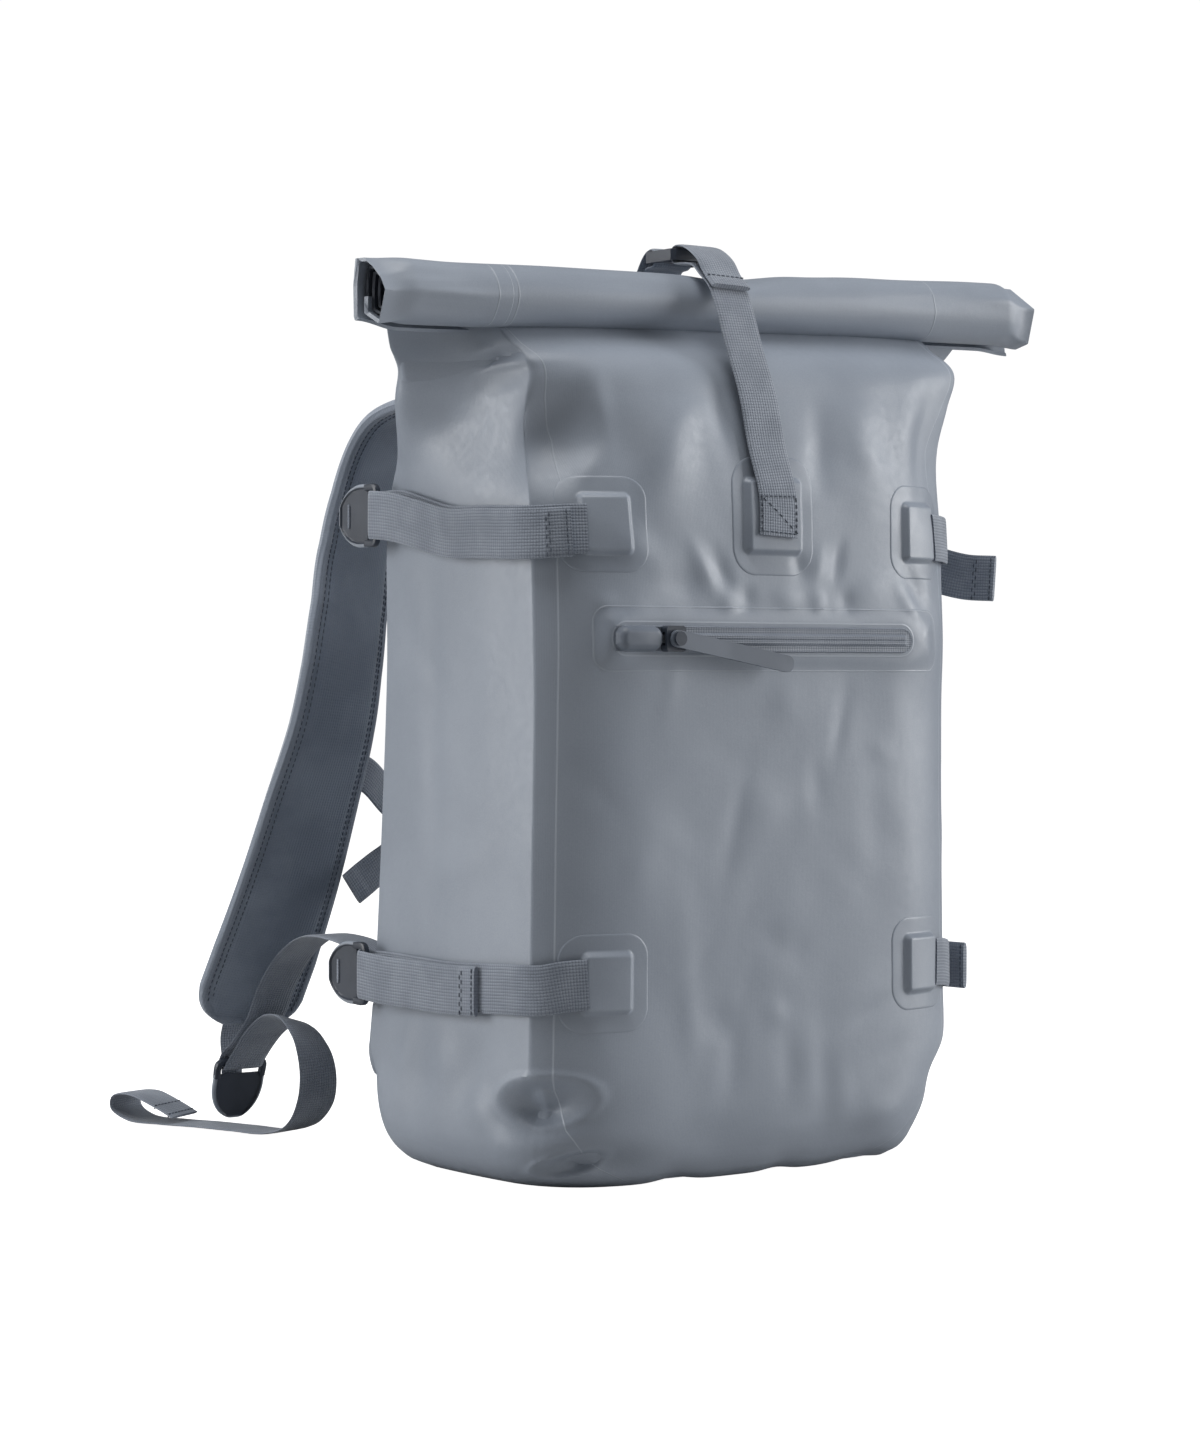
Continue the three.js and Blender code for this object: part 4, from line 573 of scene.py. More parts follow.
# Where the front panel's weld runs, in from the crease: height and place across, both in mm.
weldRoute = np.array([(0, -84), (5, -92), (11, -102), (22, -112), (31, -119), (41, -122), (50, -126),
                      (57, -127), (240, -127),
                      (321, -126), (350, -121), (373, -120), (385, -124), (396, -127.5), (405, -129),
                      (414, -130), (421, -131), (431, -133)])
# Where the hem of the base lifts off the floor, in mm: place across, half width and how far.
hemLifts = ((-58, 15, 2.2), (84, 20, 2.4), (20, 12, 1.6))


def bodyShape():
    size = bodySize
    plain = np.concatenate([np.linspace(-3, -2, 24, endpoint=False),
                            np.linspace(-2, 1.2, 190, endpoint=False),
                            np.linspace(1.2, 3, 48, endpoint=False)])
    offsets = np.array([0, 0.0025, 0.005, 0.0075, 0.011, 0.016, 0.024, 0.036])
    close = np.concatenate([c + side * offsets for c in (-2, -1, 1, 2) for side in (-1, 1)])
    around = np.unique(np.round(np.concatenate([plain, close]), 4))
    rise = np.unique(np.concatenate([np.linspace(0, 0.16, 56), np.linspace(0.16, 0.66, 74),
                                     np.linspace(0.66, 1, 98)]))
    outer = bodyPoint(around[None, :], rise[:, None])
    u = around[None, :] * size["halfWidth"]
    lift = sum(high * np.exp(-((u - place) / span) ** 2) for place, span, high in hemLifts)
    outer[..., 2] += lift * np.exp(-(rise[:, None] / 0.035) ** 2)
    outer[..., 2] += size["intoRoll"] * ramp(rise[:, None], 0.985, 1)
    height = rise[:, None] * size["neckHeight"]
    left = u - np.interp(height, weldRoute[:, 0], weldRoute[:, 1])
    right = -u - np.interp(height, weldRoute[:, 0], weldRoute[:, 1])
    weld = np.where(np.abs(left) < np.abs(right), left, right)
    low = np.linspace(1, 0, 9)[1:-1, None, None]
    base = outer[0] * low
    base[..., 2] = outer[0, :, 2] * low[..., 0] ** 3
    innerRise = rise[::-8]
    inner = bodyPoint(around[None, :], innerRise[:, None], 0, size["wall"])
    inner[..., 2] = np.maximum(inner[..., 2] + size["intoRoll"] * ramp(innerRise[:, None], 0.985, 1),
                               size["wall"])
    floor = np.mean(inner[-1], 0) * np.ones_like(inner[-1:])
    rows = np.concatenate([np.zeros_like(outer[:1]), base[::-1], outer, inner, floor])
    far = np.full((len(rows), len(around)), 9.0)
    far[1 + len(base):1 + len(base) + len(outer)] = np.clip(weld, -9, 9)
    return gridShape(rows, around=True, masks={"weld": far})


putPiece("bagBody", bodyShape(), coatedFabric, ["bag_shell"])
print("bag body made")

# The roll: an outer turn and a close inner coil, carried along X through a table of sections.
rollSize = {"length": 437.0, "shift": 8.0, "depth": 42.0, "height": 38.0, "layer": 1.8, "pitch": 5.0,
            "outerTurns": 1.12,
            "innerPitch": 2.7, "innerLayer": 1.2, "innerTurns": 5.2, "setForward": 17.0, "startAngle": 0.5,
            "centre": 448.15}
rollSections = np.array([
    (-0.500, 0.70, 1.00, 0.02, -0.10), (-0.465, 0.80, 1.04, 0.02, -0.06), (-0.380, 0.94, 1.01, 0.00, -0.02),
    (-0.150, 1.00, 0.98, 0.00, 0.00), (0.050, 1.00, 0.97, -0.02, 0.00), (0.250, 1.00, 1.04, 0.00, 0.00),
    (0.420, 0.97, 1.09, -0.01, -0.02), (0.475, 0.95, 1.10, -0.02, -0.05), (0.500, 0.92, 1.08, -0.03, -0.10),
])
# Folds of the roll in mm and radians: place along, angle, half sizes, push.
rollFolds = np.array([
    (-190, 4.1, 26, 0.30, -1.2), (-186, 5.2, 26, 0.3, -1.0), (-176, 4.71, 26, 0.14, 1.2),
    (-120, 3.5, 40, 0.35, 0.8), (-70, 4.2, 36, 0.3, -0.9), (6, 3.45, 20, 0.5, -3.0), (44, 3.4, 18, 0.5, 1.0),
    (84, 3.4, 30, 0.5, 1.0),
    (130, 4.4, 30, 0.25, -0.8), (170, 3.6, 26, 0.4, 0.8), (190, 4.3, 16, 0.2, 1.2), (0, 5.6, 60, 0.3, -0.8),
    (-150, 5.7, 30, 0.3, 0.8),
    (150, 5.6, 34, 0.3, 0.9),
])
# Folded ends: angle round the roll, then place back, up and out along the roll, in mm.
leftFold = np.array([(0.62, 11.7, -11.2, 0), (1.7, 13.9, 5, 0), (2.45, 13, 18.8, 0), (3.3, 5.3, 19.2, 0),
                     (4.0, -9, 9.4, 0), (4.71, -14.7, 0, 0),
                     (5.75, -6.3, -19.5, 0), (6.9, 11.7, -12.5, 0)])
rightFold = np.array([(0.62, 14, -20, 0), (1.7, 18, 4, 0), (2.45, 14, 17.5, 0), (3.0, 9, 19, 0),
                      (4.4, -15, 4.5, 0), (5.3, -10, -18.5, 0),
                      (5.8, 2, -22, 0), (6.9, 14, -20, 0)])


def coilShape(along, angle, shrink, layer, endReach=0.055):
    # an ellipse that shrinks with the angle; near each end it turns into the folded outline there
    size = rollSize
    section = tableAt(rollSections, along)
    x = size["shift"] + along * size["length"]
    turned = np.mod(angle - 0.62, 2 * math.pi) + 0.62
    push = np.zeros((len(x), len(angle)))
    for place, turn, span, wide, depth in rollFolds:
        a, b = (x[:, None] - size["shift"] - place) / span, (turned[None, :] - turn) / wide
        push += depth * np.exp(-a ** 2 - b ** 2)
    faces = []
    for inward in (0.0, layer):
        a = np.maximum(size["depth"] / 2 - shrink - inward, 0.6)[None, :]
        b = np.maximum(size["height"] / 2 - shrink - inward, 0.6)[None, :]
        y = (a + push) * np.sin(angle)[None, :] * section[:, 1:2]
        z = -(b + push) * np.cos(angle)[None, :] * section[:, 2:3]
        out = np.zeros_like(y)
        for fold, way in ((leftFold, -1), (rightFold, 1)):
            near = ramp(way * along, 0.5 - endReach, 0.5)[:, None]
            kept = (1 - (shrink + inward) / (size["depth"] / 2))[None, :]
            foldY, foldZ, foldX = (np.interp(turned, fold[:, 0], fold[:, k])[None, :] for k in (1, 2, 3))
            y = y * (1 - near) + foldY * kept * near
            z = z * (1 - near) + foldZ * kept * near
            out = out + foldX * near * kept - way * near * (1 - kept) * 18
        slope = bodySize["slant"] * x[:, None] / halfWidth
        faces.append(np.stack([x[:, None] + out, y - size["setForward"] + section[:, 4:5] * size["depth"],
                               z + size["centre"] + slope + section[:, 3:4] * size["height"]], -1))
    loop = np.concatenate([faces[0], faces[1][:, ::-1]], 1)
    lines = np.array([-149.0, -137.0, 141.0]) + size["shift"]
    weld = x[:, None] - lines[None, :]
    weld = np.take_along_axis(weld, np.argmin(np.abs(weld), 1)[:, None], 1)  # the nearest line's distance
    return gridShape(loop, around=True, masks={"weld": np.clip(weld, -9, 9)}, capEnds=True)


def rollShape():
    size = rollSize
    along = np.concatenate([np.linspace(-0.5, -0.40, 40), np.linspace(-0.40, 0.40, 100)[1:],
                            np.linspace(0.40, 0.5, 40)[1:]])
    turn = np.linspace(0, size["outerTurns"], 110)
    outer = coilShape(along, size["startAngle"] + turn * 2 * math.pi, turn * size["pitch"], size["layer"])
    turn = np.linspace(0, size["innerTurns"], 230)
    start = size["startAngle"] + (size["outerTurns"] - 0.02) * 2 * math.pi
    few = np.concatenate([np.linspace(-0.497, -0.40, 9), np.linspace(0.40, 0.497, 9)])
    shrink = size["outerTurns"] * size["pitch"] + turn * size["innerPitch"]
    inner = coilShape(few, start + turn * 2 * math.pi, shrink, size["innerLayer"])
    return outer, inner


rollOuter, rollCoil = rollShape()
putPiece("rollTop", rollOuter, coatedFabric, ["roll_top"])
# the inner coil wears the near-black fabric: painted shade in the roll's hollow
putPiece("rollCoil", rollCoil, coilShadeFabric)
print("roll made")

# Straps: a flat section with rounded edges carried along a smooth path.


def smoothPath(stops, steps=16):
    # centripetal Catmull-Rom: cubic spans, timed by the square root of the distance between stops
    stops = np.asarray(stops, float)
    held = np.vstack([2 * stops[0] - stops[1], stops, 2 * stops[-1] - stops[-2]])
    spans = len(stops) - 1
    t = np.linspace(0, spans, spans * steps + 1)
    low = np.minimum(t.astype(int), spans - 1)
    share = (t - low)[:, None]
    p0, p1, p2, p3 = (held[low + k] for k in range(4))
    d0, d1, d2 = (np.maximum(np.linalg.norm(b - a, axis=1, keepdims=True) ** 0.5, 1e-4)
                  for a, b in ((p0, p1), (p1, p2), (p2, p3)))
    m1 = ((p1 - p0) / d0 - (p2 - p0) / (d0 + d1) + (p2 - p1) / d1) * d1
    m2 = ((p2 - p1) / d1 - (p3 - p1) / (d1 + d2) + (p3 - p2) / d2) * d1
    path = ((2 * share ** 3 - 3 * share ** 2 + 1) * p1 + (share ** 3 - 2 * share ** 2 + share) * m1
            + (3 * share ** 2 - 2 * share ** 3) * p2 + (share ** 3 - share ** 2) * m2)
    return path, low, share


def strapRoute(stops, across=(0, 0, 1), spacing=1.8):
    stops = np.asarray(stops, float)
    widths = unit(np.broadcast_to(np.asarray(across, float), stops.shape))
    path, low, share = smoothPath(stops)
    sides = widths[low] * (1 - share) + widths[low + 1] * share
    run = np.concatenate([[0], np.cumsum(np.linalg.norm(np.diff(path, axis=0), axis=1))])
    along = np.linspace(0, run[-1], int(run[-1] / spacing) + 2)
    centre = np.stack([np.interp(along, run, path[:, k]) for k in range(3)], 1)
    side = np.stack([np.interp(along, run, sides[:, k]) for k in range(3)], 1)
    tangent = unit(np.gradient(centre, along, axis=0))
    side = unit(side - np.sum(side * tangent, 1, keepdims=True) * tangent)
    return {"along": along, "centre": centre, "tangent": tangent, "side": side,
            "normal": np.cross(tangent, side)}


def onRoute(route, along, across, off):
    def pick(key):
        return np.stack([np.interp(along, route["along"], route[key][:, k]) for k in range(3)], -1)
    side, normal, tangent = unit(pick("side")), unit(pick("normal")), unit(pick("tangent"))
    place = pick("centre") + side * np.asarray(across)[..., None] + normal * np.asarray(off)[..., None]
    return place, tangent, side, normal


def strapShape(route, width=25.0, thick=1.5, hemEnd=0.0):
    # half the thickness falls off towards both edges as the root of one minus the eighth power
    u = np.sin(np.linspace(-math.pi / 2, math.pi / 2, 11))
    half = np.sqrt(1 - np.abs(u) ** 8)
    loopU, loopV = np.concatenate([u, u[-2:0:-1]]), np.concatenate([half, -half[-2:0:-1]])
    along, total = route["along"], route["along"][-1]
    hem = np.zeros_like(along)
    if hemEnd:
        hem += ramp(along, total - hemEnd, total - hemEnd + 0.8)
    deep = (thick * (1 + 0.9 * hem))[:, None]
    points = (route["centre"][:, None] + route["side"][:, None] * (loopU * width / 2)[None, :, None]
              + route["normal"][:, None] * (loopV[None, :] * deep / 2)[..., None])
    flat = np.stack(np.broadcast_arrays((loopU * width / 2)[None, :], along[:, None]), -1)
    return gridShape(points, flat, around=True, capEnds=True)


def stitchShape(place, forward, up, length=2.4, thick=0.75):
    # one small bead for each place: rings whose radius is the root of one minus the square of the way along
    t = np.array([-1, -0.8, 0, 0.8, 1])
    ring = np.sqrt(np.maximum(1 - t ** 2, 0)) ** 0.7
    turn = np.arange(6) / 6 * 2 * math.pi
    forward, up = unit(np.asarray(forward, float)), unit(np.asarray(up, float))
    aside = np.cross(forward, up)
    beads = (place[:, None, None] + forward[:, None, None] * (t * length / 2)[None, :, None, None]
             + aside[:, None, None] * (ring[:, None] * np.cos(turn) * thick / 2)[None, ..., None]
             + up[:, None, None] * (ring[:, None] * np.sin(turn) * thick / 2)[None, ..., None])
    count = len(place)
    quads = gridShape(beads[0], around=True)["quads"]
    every = (quads[None] + (np.arange(count) * 30)[:, None, None]).reshape(-1, 4)
    return {"points": beads.reshape(-1, 3), "quads": every, "ends": [], "flat": np.zeros((count * 30, 2)),
            "masks": {}}


def stitchesAcross(route, along, width, off, gap=3.0, zigzag=0.0):
    across = np.arange(-width / 2 + 1.6, width / 2 - 1.4, gap)
    wander = along + zigzag * (np.arange(len(across)) % 2 - 0.5)
    place, tangent, side, normal = onRoute(route, wander, across, np.full(len(across), off))
    return stitchShape(place, side, normal)


def stitchesAlong(route, start, end, across, off, gap=3.2):
    along = np.arange(start, end, gap)
    place, tangent, side, normal = onRoute(route, along, np.full(len(along), across),
                                           np.full(len(along), off))
    return stitchShape(place, tangent, normal)


def putWebbing(name, shape, node):
    putPiece(name, shape, wovenWebbing, [node])


webbing = {"width": 25.0, "thick": 1.5, "tabWidth": 13.0, "hem": 13.5, "layerGap": 0.8}
# A ring along its length, in mm: the bar, a slot, the plate, the slot for its tab and the rim.
ringSize = {"width": 33.0, "thick": 3.6, "bar": 3.6, "slot": 5.2, "plate": 14.0, "rearSlot": 8.0, "rim": 5.0}
tabSlotAt = ringSize["bar"] / 2 + ringSize["slot"] + ringSize["plate"] + ringSize["rearSlot"] * 0.45
clearance = 0.35
turnRadius = math.hypot(ringSize["thick"], ringSize["bar"]) / 2 + clearance + webbing["thick"] / 2
patch = {"width": 47.0, "height": 50.0, "corner": 13.0, "thick": 1.2, "film": 1.2 * 0.28, "pocketWidth": 25.0,
         "pocketHeight": 30.0, "pocketThick": 3.4, "across": 103.0}
topPatch = {**patch, "width": 54.0, "height": 62.0, "corner": 15.0, "pocketWidth": 36.0, "pocketHeight": 38.0,
            "centre": 336.0}
mainLift = patch["thick"] + clearance * 4 + webbing["thick"] / 2
pocketOuter = patch["across"] + 12


def halfTurn(centre, forward, normal, radius):
    angle = np.array([-1, -0.7, 0, 0.7, 1]) * math.pi / 2
    forward, normal = np.asarray(forward, float), np.asarray(normal, float)
    return centre + np.cos(angle)[:, None] * forward * radius + np.sin(angle)[:, None] * normal * radius


sideStraps = [
    {"name": "upper_left", "side": -1, "height": 330.0, "tail": 0.885, "levels": [-3, -4, -2, 8]},
    {"name": "lower_left", "side": -1, "height": 103.0, "tail": 1.190, "levels": [0, -3, -5, -4]},
    {"name": "upper_right", "side": 1, "height": 330.0, "flare": [1.345, -0.290, -22],
     "levels": [-2, -3, -2, 6]},
    {"name": "lower_right", "side": 1, "height": 103.0, "flare": [1.150, -0.325, -6],
     "levels": [0, -3, -5, -4]},
]
ringAt = 1.82


def ringShape(origin, forward, normal, size=ringSize):
    # a plate whose half width closes to a round end, thicker at its lip, with a bar held by two rails
    forward, normal = np.asarray(forward, float), np.asarray(normal, float)
    across = np.cross(forward, normal)
    half, start = size["width"] / 2, size["bar"] + size["slot"]
    length = size["bar"] + size["slot"] + size["plate"] + size["rearSlot"] + size["rim"]
    run = start + (length - start) * np.sin(np.linspace(0, math.pi / 2, 48))
    shoulder = start + size["plate"] * 0.55
    away = np.clip((run - shoulder) / (length - shoulder), 0, 1)
    wide = half * (1 - away ** 2.3) ** 0.5 * (1 - 0.10 * away)
    u = np.sin(np.linspace(-math.pi / 2, math.pi / 2, 45))
    edge = np.sqrt(1 - np.abs(u) ** 14)
    inside = np.minimum((1 - np.abs(u))[None, :] * wide[:, None], (length - run)[:, None])
    dish = 1 - 0.62 * ramp(inside, 1.7, 2.6)
    close = np.sqrt(np.clip((length - run) / 1.2, 0, 1))[:, None]
    deep = edge[None, :] * dish * close * size["thick"] / 2
    loopU = np.concatenate([u, u[-2:0:-1]])
    loopV = np.concatenate([deep, -deep[:, -2:0:-1]], 1)
    local = np.stack([wide[:, None] * loopU[None, :], run[:, None] + 0 * loopV, loopV], -1)
    # mask for the painted highlight along the plate's edge
    glint = 1 - ramp(np.concatenate([inside, inside[:, -2:0:-1]], 1), 1.2, 2.0)
    plate = gridShape(local, around=True, masks={"rim": glint}, capEnds=True)
    rail = np.array([(-half + 2.0, start + 2), (-half + 2.0, 3.2), (-half + 3.4, 1.8), (half - 3.4, 1.8),
                     (half - 2.0, 3.2), (half - 2.0, start + 2)])
    path = np.column_stack([rail, np.zeros(len(rail))])
    route = strapRoute(path, (0, 0, 1), 1.2)
    frameBar = strapShape(route, size["thick"], size["bar"])
    shape = joinShapes([plate, frameBar])
    basis = np.stack([across, forward, normal])
    place = np.asarray(origin, float) - forward * size["bar"] / 2
    shape["points"] = shape["points"] @ basis + place
    return shape


def sideStrapPieces(strap):
    side, height, levels = strap["side"], strap["height"], strap["levels"]
    start = (pocketOuter + 2 * clearance) / halfWidth
    knots = np.array([start, 1, 1.45, ringAt])

    def level(around):
        place = np.clip(around, start, ringAt)
        i = np.clip(np.searchsorted(knots, place - 1e-9), 1, 3)
        t = (place - knots[i - 1]) / (knots[i] - knots[i - 1])
        low, high = np.array(levels, float)[i - 1], np.array(levels, float)[i]
        return low + (high - low) * t * t * (3 - 2 * t)

    def at(around, drop, lift):
        around = np.asarray(around, float)
        rise, reach = (height + drop) / neckHeight, webbing["width"] / 2 / neckHeight
        top, foot = (bodyPoint(side * around, rise + r, folds=0) for r in (reach, -reach))
        return bodyPoint(side * around, rise, lift, folds=0), top - foot

    mainPlaces = np.array([start - 0.02, 0.9, 0.97, 1.03, 1.1, 1.25, 1.45, 1.65, ringAt])
    main, mainUp = at(mainPlaces, level(mainPlaces), mainLift)
    ringHeight = height + levels[3]
    corner = bodyPoint(side * 2, ringHeight / neckHeight, folds=0)
    edge = bodyPoint(side * ringAt, ringHeight / neckHeight, folds=0)
    barX = side * (abs(edge[0]) + mainLift + turnRadius)
    bar = np.array([barX, corner[1] - 0.025 * bodySize["depth"], ringHeight])
    turn = halfTurn(bar, (0, 1, 0), (side, 0, 0), turnRadius)
    tailLift = mainLift + 2 * turnRadius
    if "tail" in strap:
        places = np.array([ringAt, 1.65, 1.45, 1.25, 1.1, 1.03, 0.97, 0.92, 0.885])
        places = places[places >= strap["tail"]]
        settle = np.full(len(places), -4.8)
        settle[:2] = (-1, -3)
        back, backUp = at(places, level(places) - 1.5, tailLift + settle)
    else:
        out = np.array([side * strap["flare"][0] * halfWidth, strap["flare"][1] * bodySize["depth"]])
        mid = bodyPoint(side * 1.6, height / neckHeight, tailLift, folds=0)
        share = np.array([(0, 0), (0.35, 0.4), (0.75, 0.75), (1, 1)])
        flat = mid[:2] + (out - mid[:2]) * share
        a = share[:, 0]
        drop = level(np.array(1.6)) * (1 - a * (2 - a)) + strap["flare"][2] * a * (2 - a)
        back = np.column_stack([flat, height + drop])
        backUp = np.tile([0.0, 0, 1], (len(back), 1))
    upright = np.tile([0.0, 0, 1], (len(turn), 1))
    route = strapRoute(np.vstack([main, turn, back]), np.vstack([mainUp, upright, backUp]))
    total = route["along"][-1]
    name = strap["name"]
    putWebbing("sideStrap_" + name, strapShape(route, hemEnd=webbing["hem"]), "side_strap_" + name)
    off = webbing["thick"] * 0.95 + 0.1
    rows = [stitchesAcross(route, total - 2.2, 25, s * off) for s in (-1, 1)]
    rows += [stitchesAcross(route, total - 11.5, 25, s * off, 2.2, zigzag=1.6) for s in (-1, 1)]
    putPiece("sideStitch_" + name, joinShapes(rows), sewingThread)
    putPiece("sideRing_" + name, ringShape(bar, (0, 1, 0), (side, 0, 0)), mouldedPlastic,
             ["side_ring_" + name])
    rearY = bar[1] + tabSlotAt
    root = bodyPoint(side * 2.15, height / neckHeight, clearance * 1.9 + 0.75, folds=0)
    bend = bodyPoint(side * 2.06, height / neckHeight, clearance + 4, folds=0)
    root[2] = bend[2] = ringHeight
    tab = strapRoute([root, bend, [barX - side * 5, rearY - 0.6, ringHeight],
                      [barX + side * 1.4, rearY, ringHeight]])
    putWebbing("ringTab_" + name, strapShape(tab, webbing["tabWidth"]), "ring_tab_" + name)


for strap in sideStraps:
    sideStrapPieces(strap)
print("side straps made")

# Welded patches: a sheet over the body whose height is a function of the distance to its outline.


def plateShape(around, height, wide, tall, standAt, step=0.55, folds=1.0, margin=0.8):
    columns, rows = int((wide + 2 * margin) / step), int((tall + 2 * margin) / step)
    u = np.linspace(-wide / 2 - margin, wide / 2 + margin, columns)[None, :]
    w = np.linspace(-tall / 2 - margin, tall / 2 + margin, rows)[:, None]
    stand, masks = standAt(u + 0 * w, w + 0 * u)
    points = bodyPoint(around + u / halfWidth, (height + w) / neckHeight, stand, folds=folds)
    border = np.concatenate([np.arange(columns), columns * np.arange(2, rows) - 1,
                             np.arange(rows * columns - 1, (rows - 1) * columns - 1, -1),
                             columns * np.arange(rows - 2, 0, -1)])
    shape = gridShape(points, np.stack([u + 0 * w, w + 0 * u], -1), masks=masks)
    hub = bodyPoint(around, height / neckHeight, -1.6, folds=0)
    shape["points"] = np.vstack([shape["points"], hub])
    shape["flat"] = np.vstack([shape["flat"], [[0, 0]]])
    shape["masks"] = {name: np.append(mask, 9.0) for name, mask in shape["masks"].items()}
    last = len(shape["points"]) - 1
    after = np.roll(border, -1)
    shape["ends"] = np.column_stack([border, after, np.full(len(border), last)]).tolist()
    return shape


def pocketPatch(size, shift=0.0):
    film = size["film"]

    def stand(u, w):
        toEdge = rounded(u, w, size["width"] / 2, size["height"] / 2, size["corner"])
        pocket = rounded(u - shift, w, size["pocketWidth"] / 2, size["pocketHeight"] / 2, 2.6)
        height = -0.6 + (film + 0.6) * (1 - ramp(toEdge, -1.2, 0.3))
        height += (size["pocketThick"] - film) * (1 - ramp(pocket, -2.0, 1.3))
        return height, {"weld": np.full_like(height, 9.0)}
    return stand


for strap in sideStraps:
    shift = strap["side"] * (pocketOuter - patch["pocketWidth"] / 2 - patch["across"])
    around = strap["side"] * patch["across"] / halfWidth
    shape = plateShape(around, strap["height"], patch["width"], patch["height"], pocketPatch(patch, shift))
    putPiece("anchorPatch_" + strap["name"], shape, weldedFilm,
             ["anchor_patch_" + strap["name"]])
shape = plateShape(0, topPatch["centre"], topPatch["width"], topPatch["height"], pocketPatch(topPatch))
putPiece("anchorPatch_top", shape, weldedFilm, ["anchor_patch_top"])
print("patches made")

# Top strap, its buckle and the rear strap.
topStrap = {"sewHeight": 336.0, "sewLength": 21.0, "buckleWidth": 31.0, "buckleDepth": 25.0,
            "buckleThick": 6.0}


def rollFace(angle, off, x=0.0):
    return [x, -rollSize["setForward"] + (rollSize["depth"] / 2 + off) * math.sin(angle),
            rollSize["centre"] - (rollSize["height"] / 2 + off) * math.cos(angle)]


def topStrapPieces(size):
    thick = webbing["thick"]
    mainOff = 1.6 + thick / 2
    tailOff = mainOff + thick + webbing["layerGap"]
    radius = math.hypot(size["buckleThick"], ringSize["bar"]) / 2 + clearance + thick / 2
    centreZ = rollFace(math.pi, 0)[2] + mainOff + thick / 2 + radius
    reach = size["buckleDepth"] / 2 - ringSize["bar"] / 2
    sewn = [bodyPoint(0, (size["sewHeight"] + s * size["sewLength"] / 2) / neckHeight,
                      patch["pocketThick"] + 2 * clearance + thick / 2, folds=0) for s in (-1, 1)]
    bar = np.array([0, -reach, centreZ])
    main = np.array([*sewn, [-1, -72, 372], [-2, -66, 398], [-3, -56.5, 423],
                     rollFace(math.pi * 1.42, mainOff + 4, -3.5),
                     rollFace(math.pi * 1.28, mainOff, -3), rollFace(math.pi * 1.12, mainOff, -1)])
    turn = halfTurn(bar, (0, 1, 0), (0, 0, 1), radius)
    tail = np.array([[0, -reach - 6, centreZ + radius * 0.8], rollFace(math.pi * 1.16, tailOff + 2.5, -2),
                     rollFace(math.pi * 1.30, tailOff + 0.6, -3),
                     rollFace(math.pi * 1.42, tailOff + 4.5, -3.5)])
    route = strapRoute(np.vstack([main, turn, tail]), (1, 0, 0))
    putWebbing("topStrapFront", strapShape(route, hemEnd=9), "top_strap_front")
    total, off = route["along"][-1], thick / 2 + 0.15
    rows = [stitchesAcross(route, 2.0, 25, s * off) for s in (-1, 1)]
    rows += [stitchesAcross(route, 20.5, 25, s * off) for s in (-1, 1)]
    slantAlong = np.arange(3, 20, 2.6)
    for s in (-1, 1):
        place, tangent, aside, normal = onRoute(route, slantAlong, 11 - (slantAlong - 3) * 1.3,
                                                np.full(len(slantAlong), s * off))
        rows.append(stitchShape(place, tangent - aside * 1.2, normal))
        rows.append(stitchesAcross(route, total - 7.5, 25, s * (thick * 0.95 + 0.1)))
        rows.append(stitchesAlong(route, 3, 20, 11.2, s * off))
        rows.append(stitchesAlong(route, 3, 20, -11.2, s * off))
    putPiece("topStrapStitch", joinShapes(rows), sewingThread)
    rear = np.array([0, reach, centreZ])
    turn = halfTurn(rear, (0, -1, 0), (0, 0, -1), radius)
    overYoke = 2.0 + 4 * clearance + thick / 2
    climb = bodyPoint(3, np.array([0.875, 0.91, 0.945]), overYoke + np.array([0, 0, 1]), folds=0)
    climb[:, 0] = 0
    stops = np.vstack([climb, [[0, reach + 14, centreZ - 10], [0, reach + 5, centreZ + radius * 0.55]], turn,
                       [[0, reach + 4, centreZ - radius - 0.5], [0, reach + 9, centreZ - radius - 6]]])
    putWebbing("topStrapRear", strapShape(strapRoute(stops, (1, 0, 0))), "top_strap_rear")


topStrapPieces(topStrap)


def keepNode(name, material, bevel=0.6):
    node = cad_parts[name]
    node.data.materials.clear()
    node.data.materials.append(material)
    weld = node.modifiers.new("join", "WELD")
    weld.merge_threshold = 0.01 * mm
    edge = node.modifiers.new("edge", "BEVEL")
    edge.width, edge.segments, edge.limit_method, edge.angle_limit = bevel * mm, 3, "ANGLE", math.radians(35)
    edge.harden_normals = True


keepNode("top_buckle", mouldedPlastic, 0.9)
print("top strap made")

# The front zip on its straight line: film, tape with rail, garage, slider and pull.
zipSize = {"height": 273.0, "length": 195.0, "centre": -6.5, "tape": 14.0, "tapeThick": 1.0,
           "patchTall": 34.0, "patchWide": 229.0,
           "patchShift": 8.0, "stand": 2.6, "rail": 3.3, "garageLength": 27.0, "garageTall": 12.5,
           "garageDepth": 7.0}


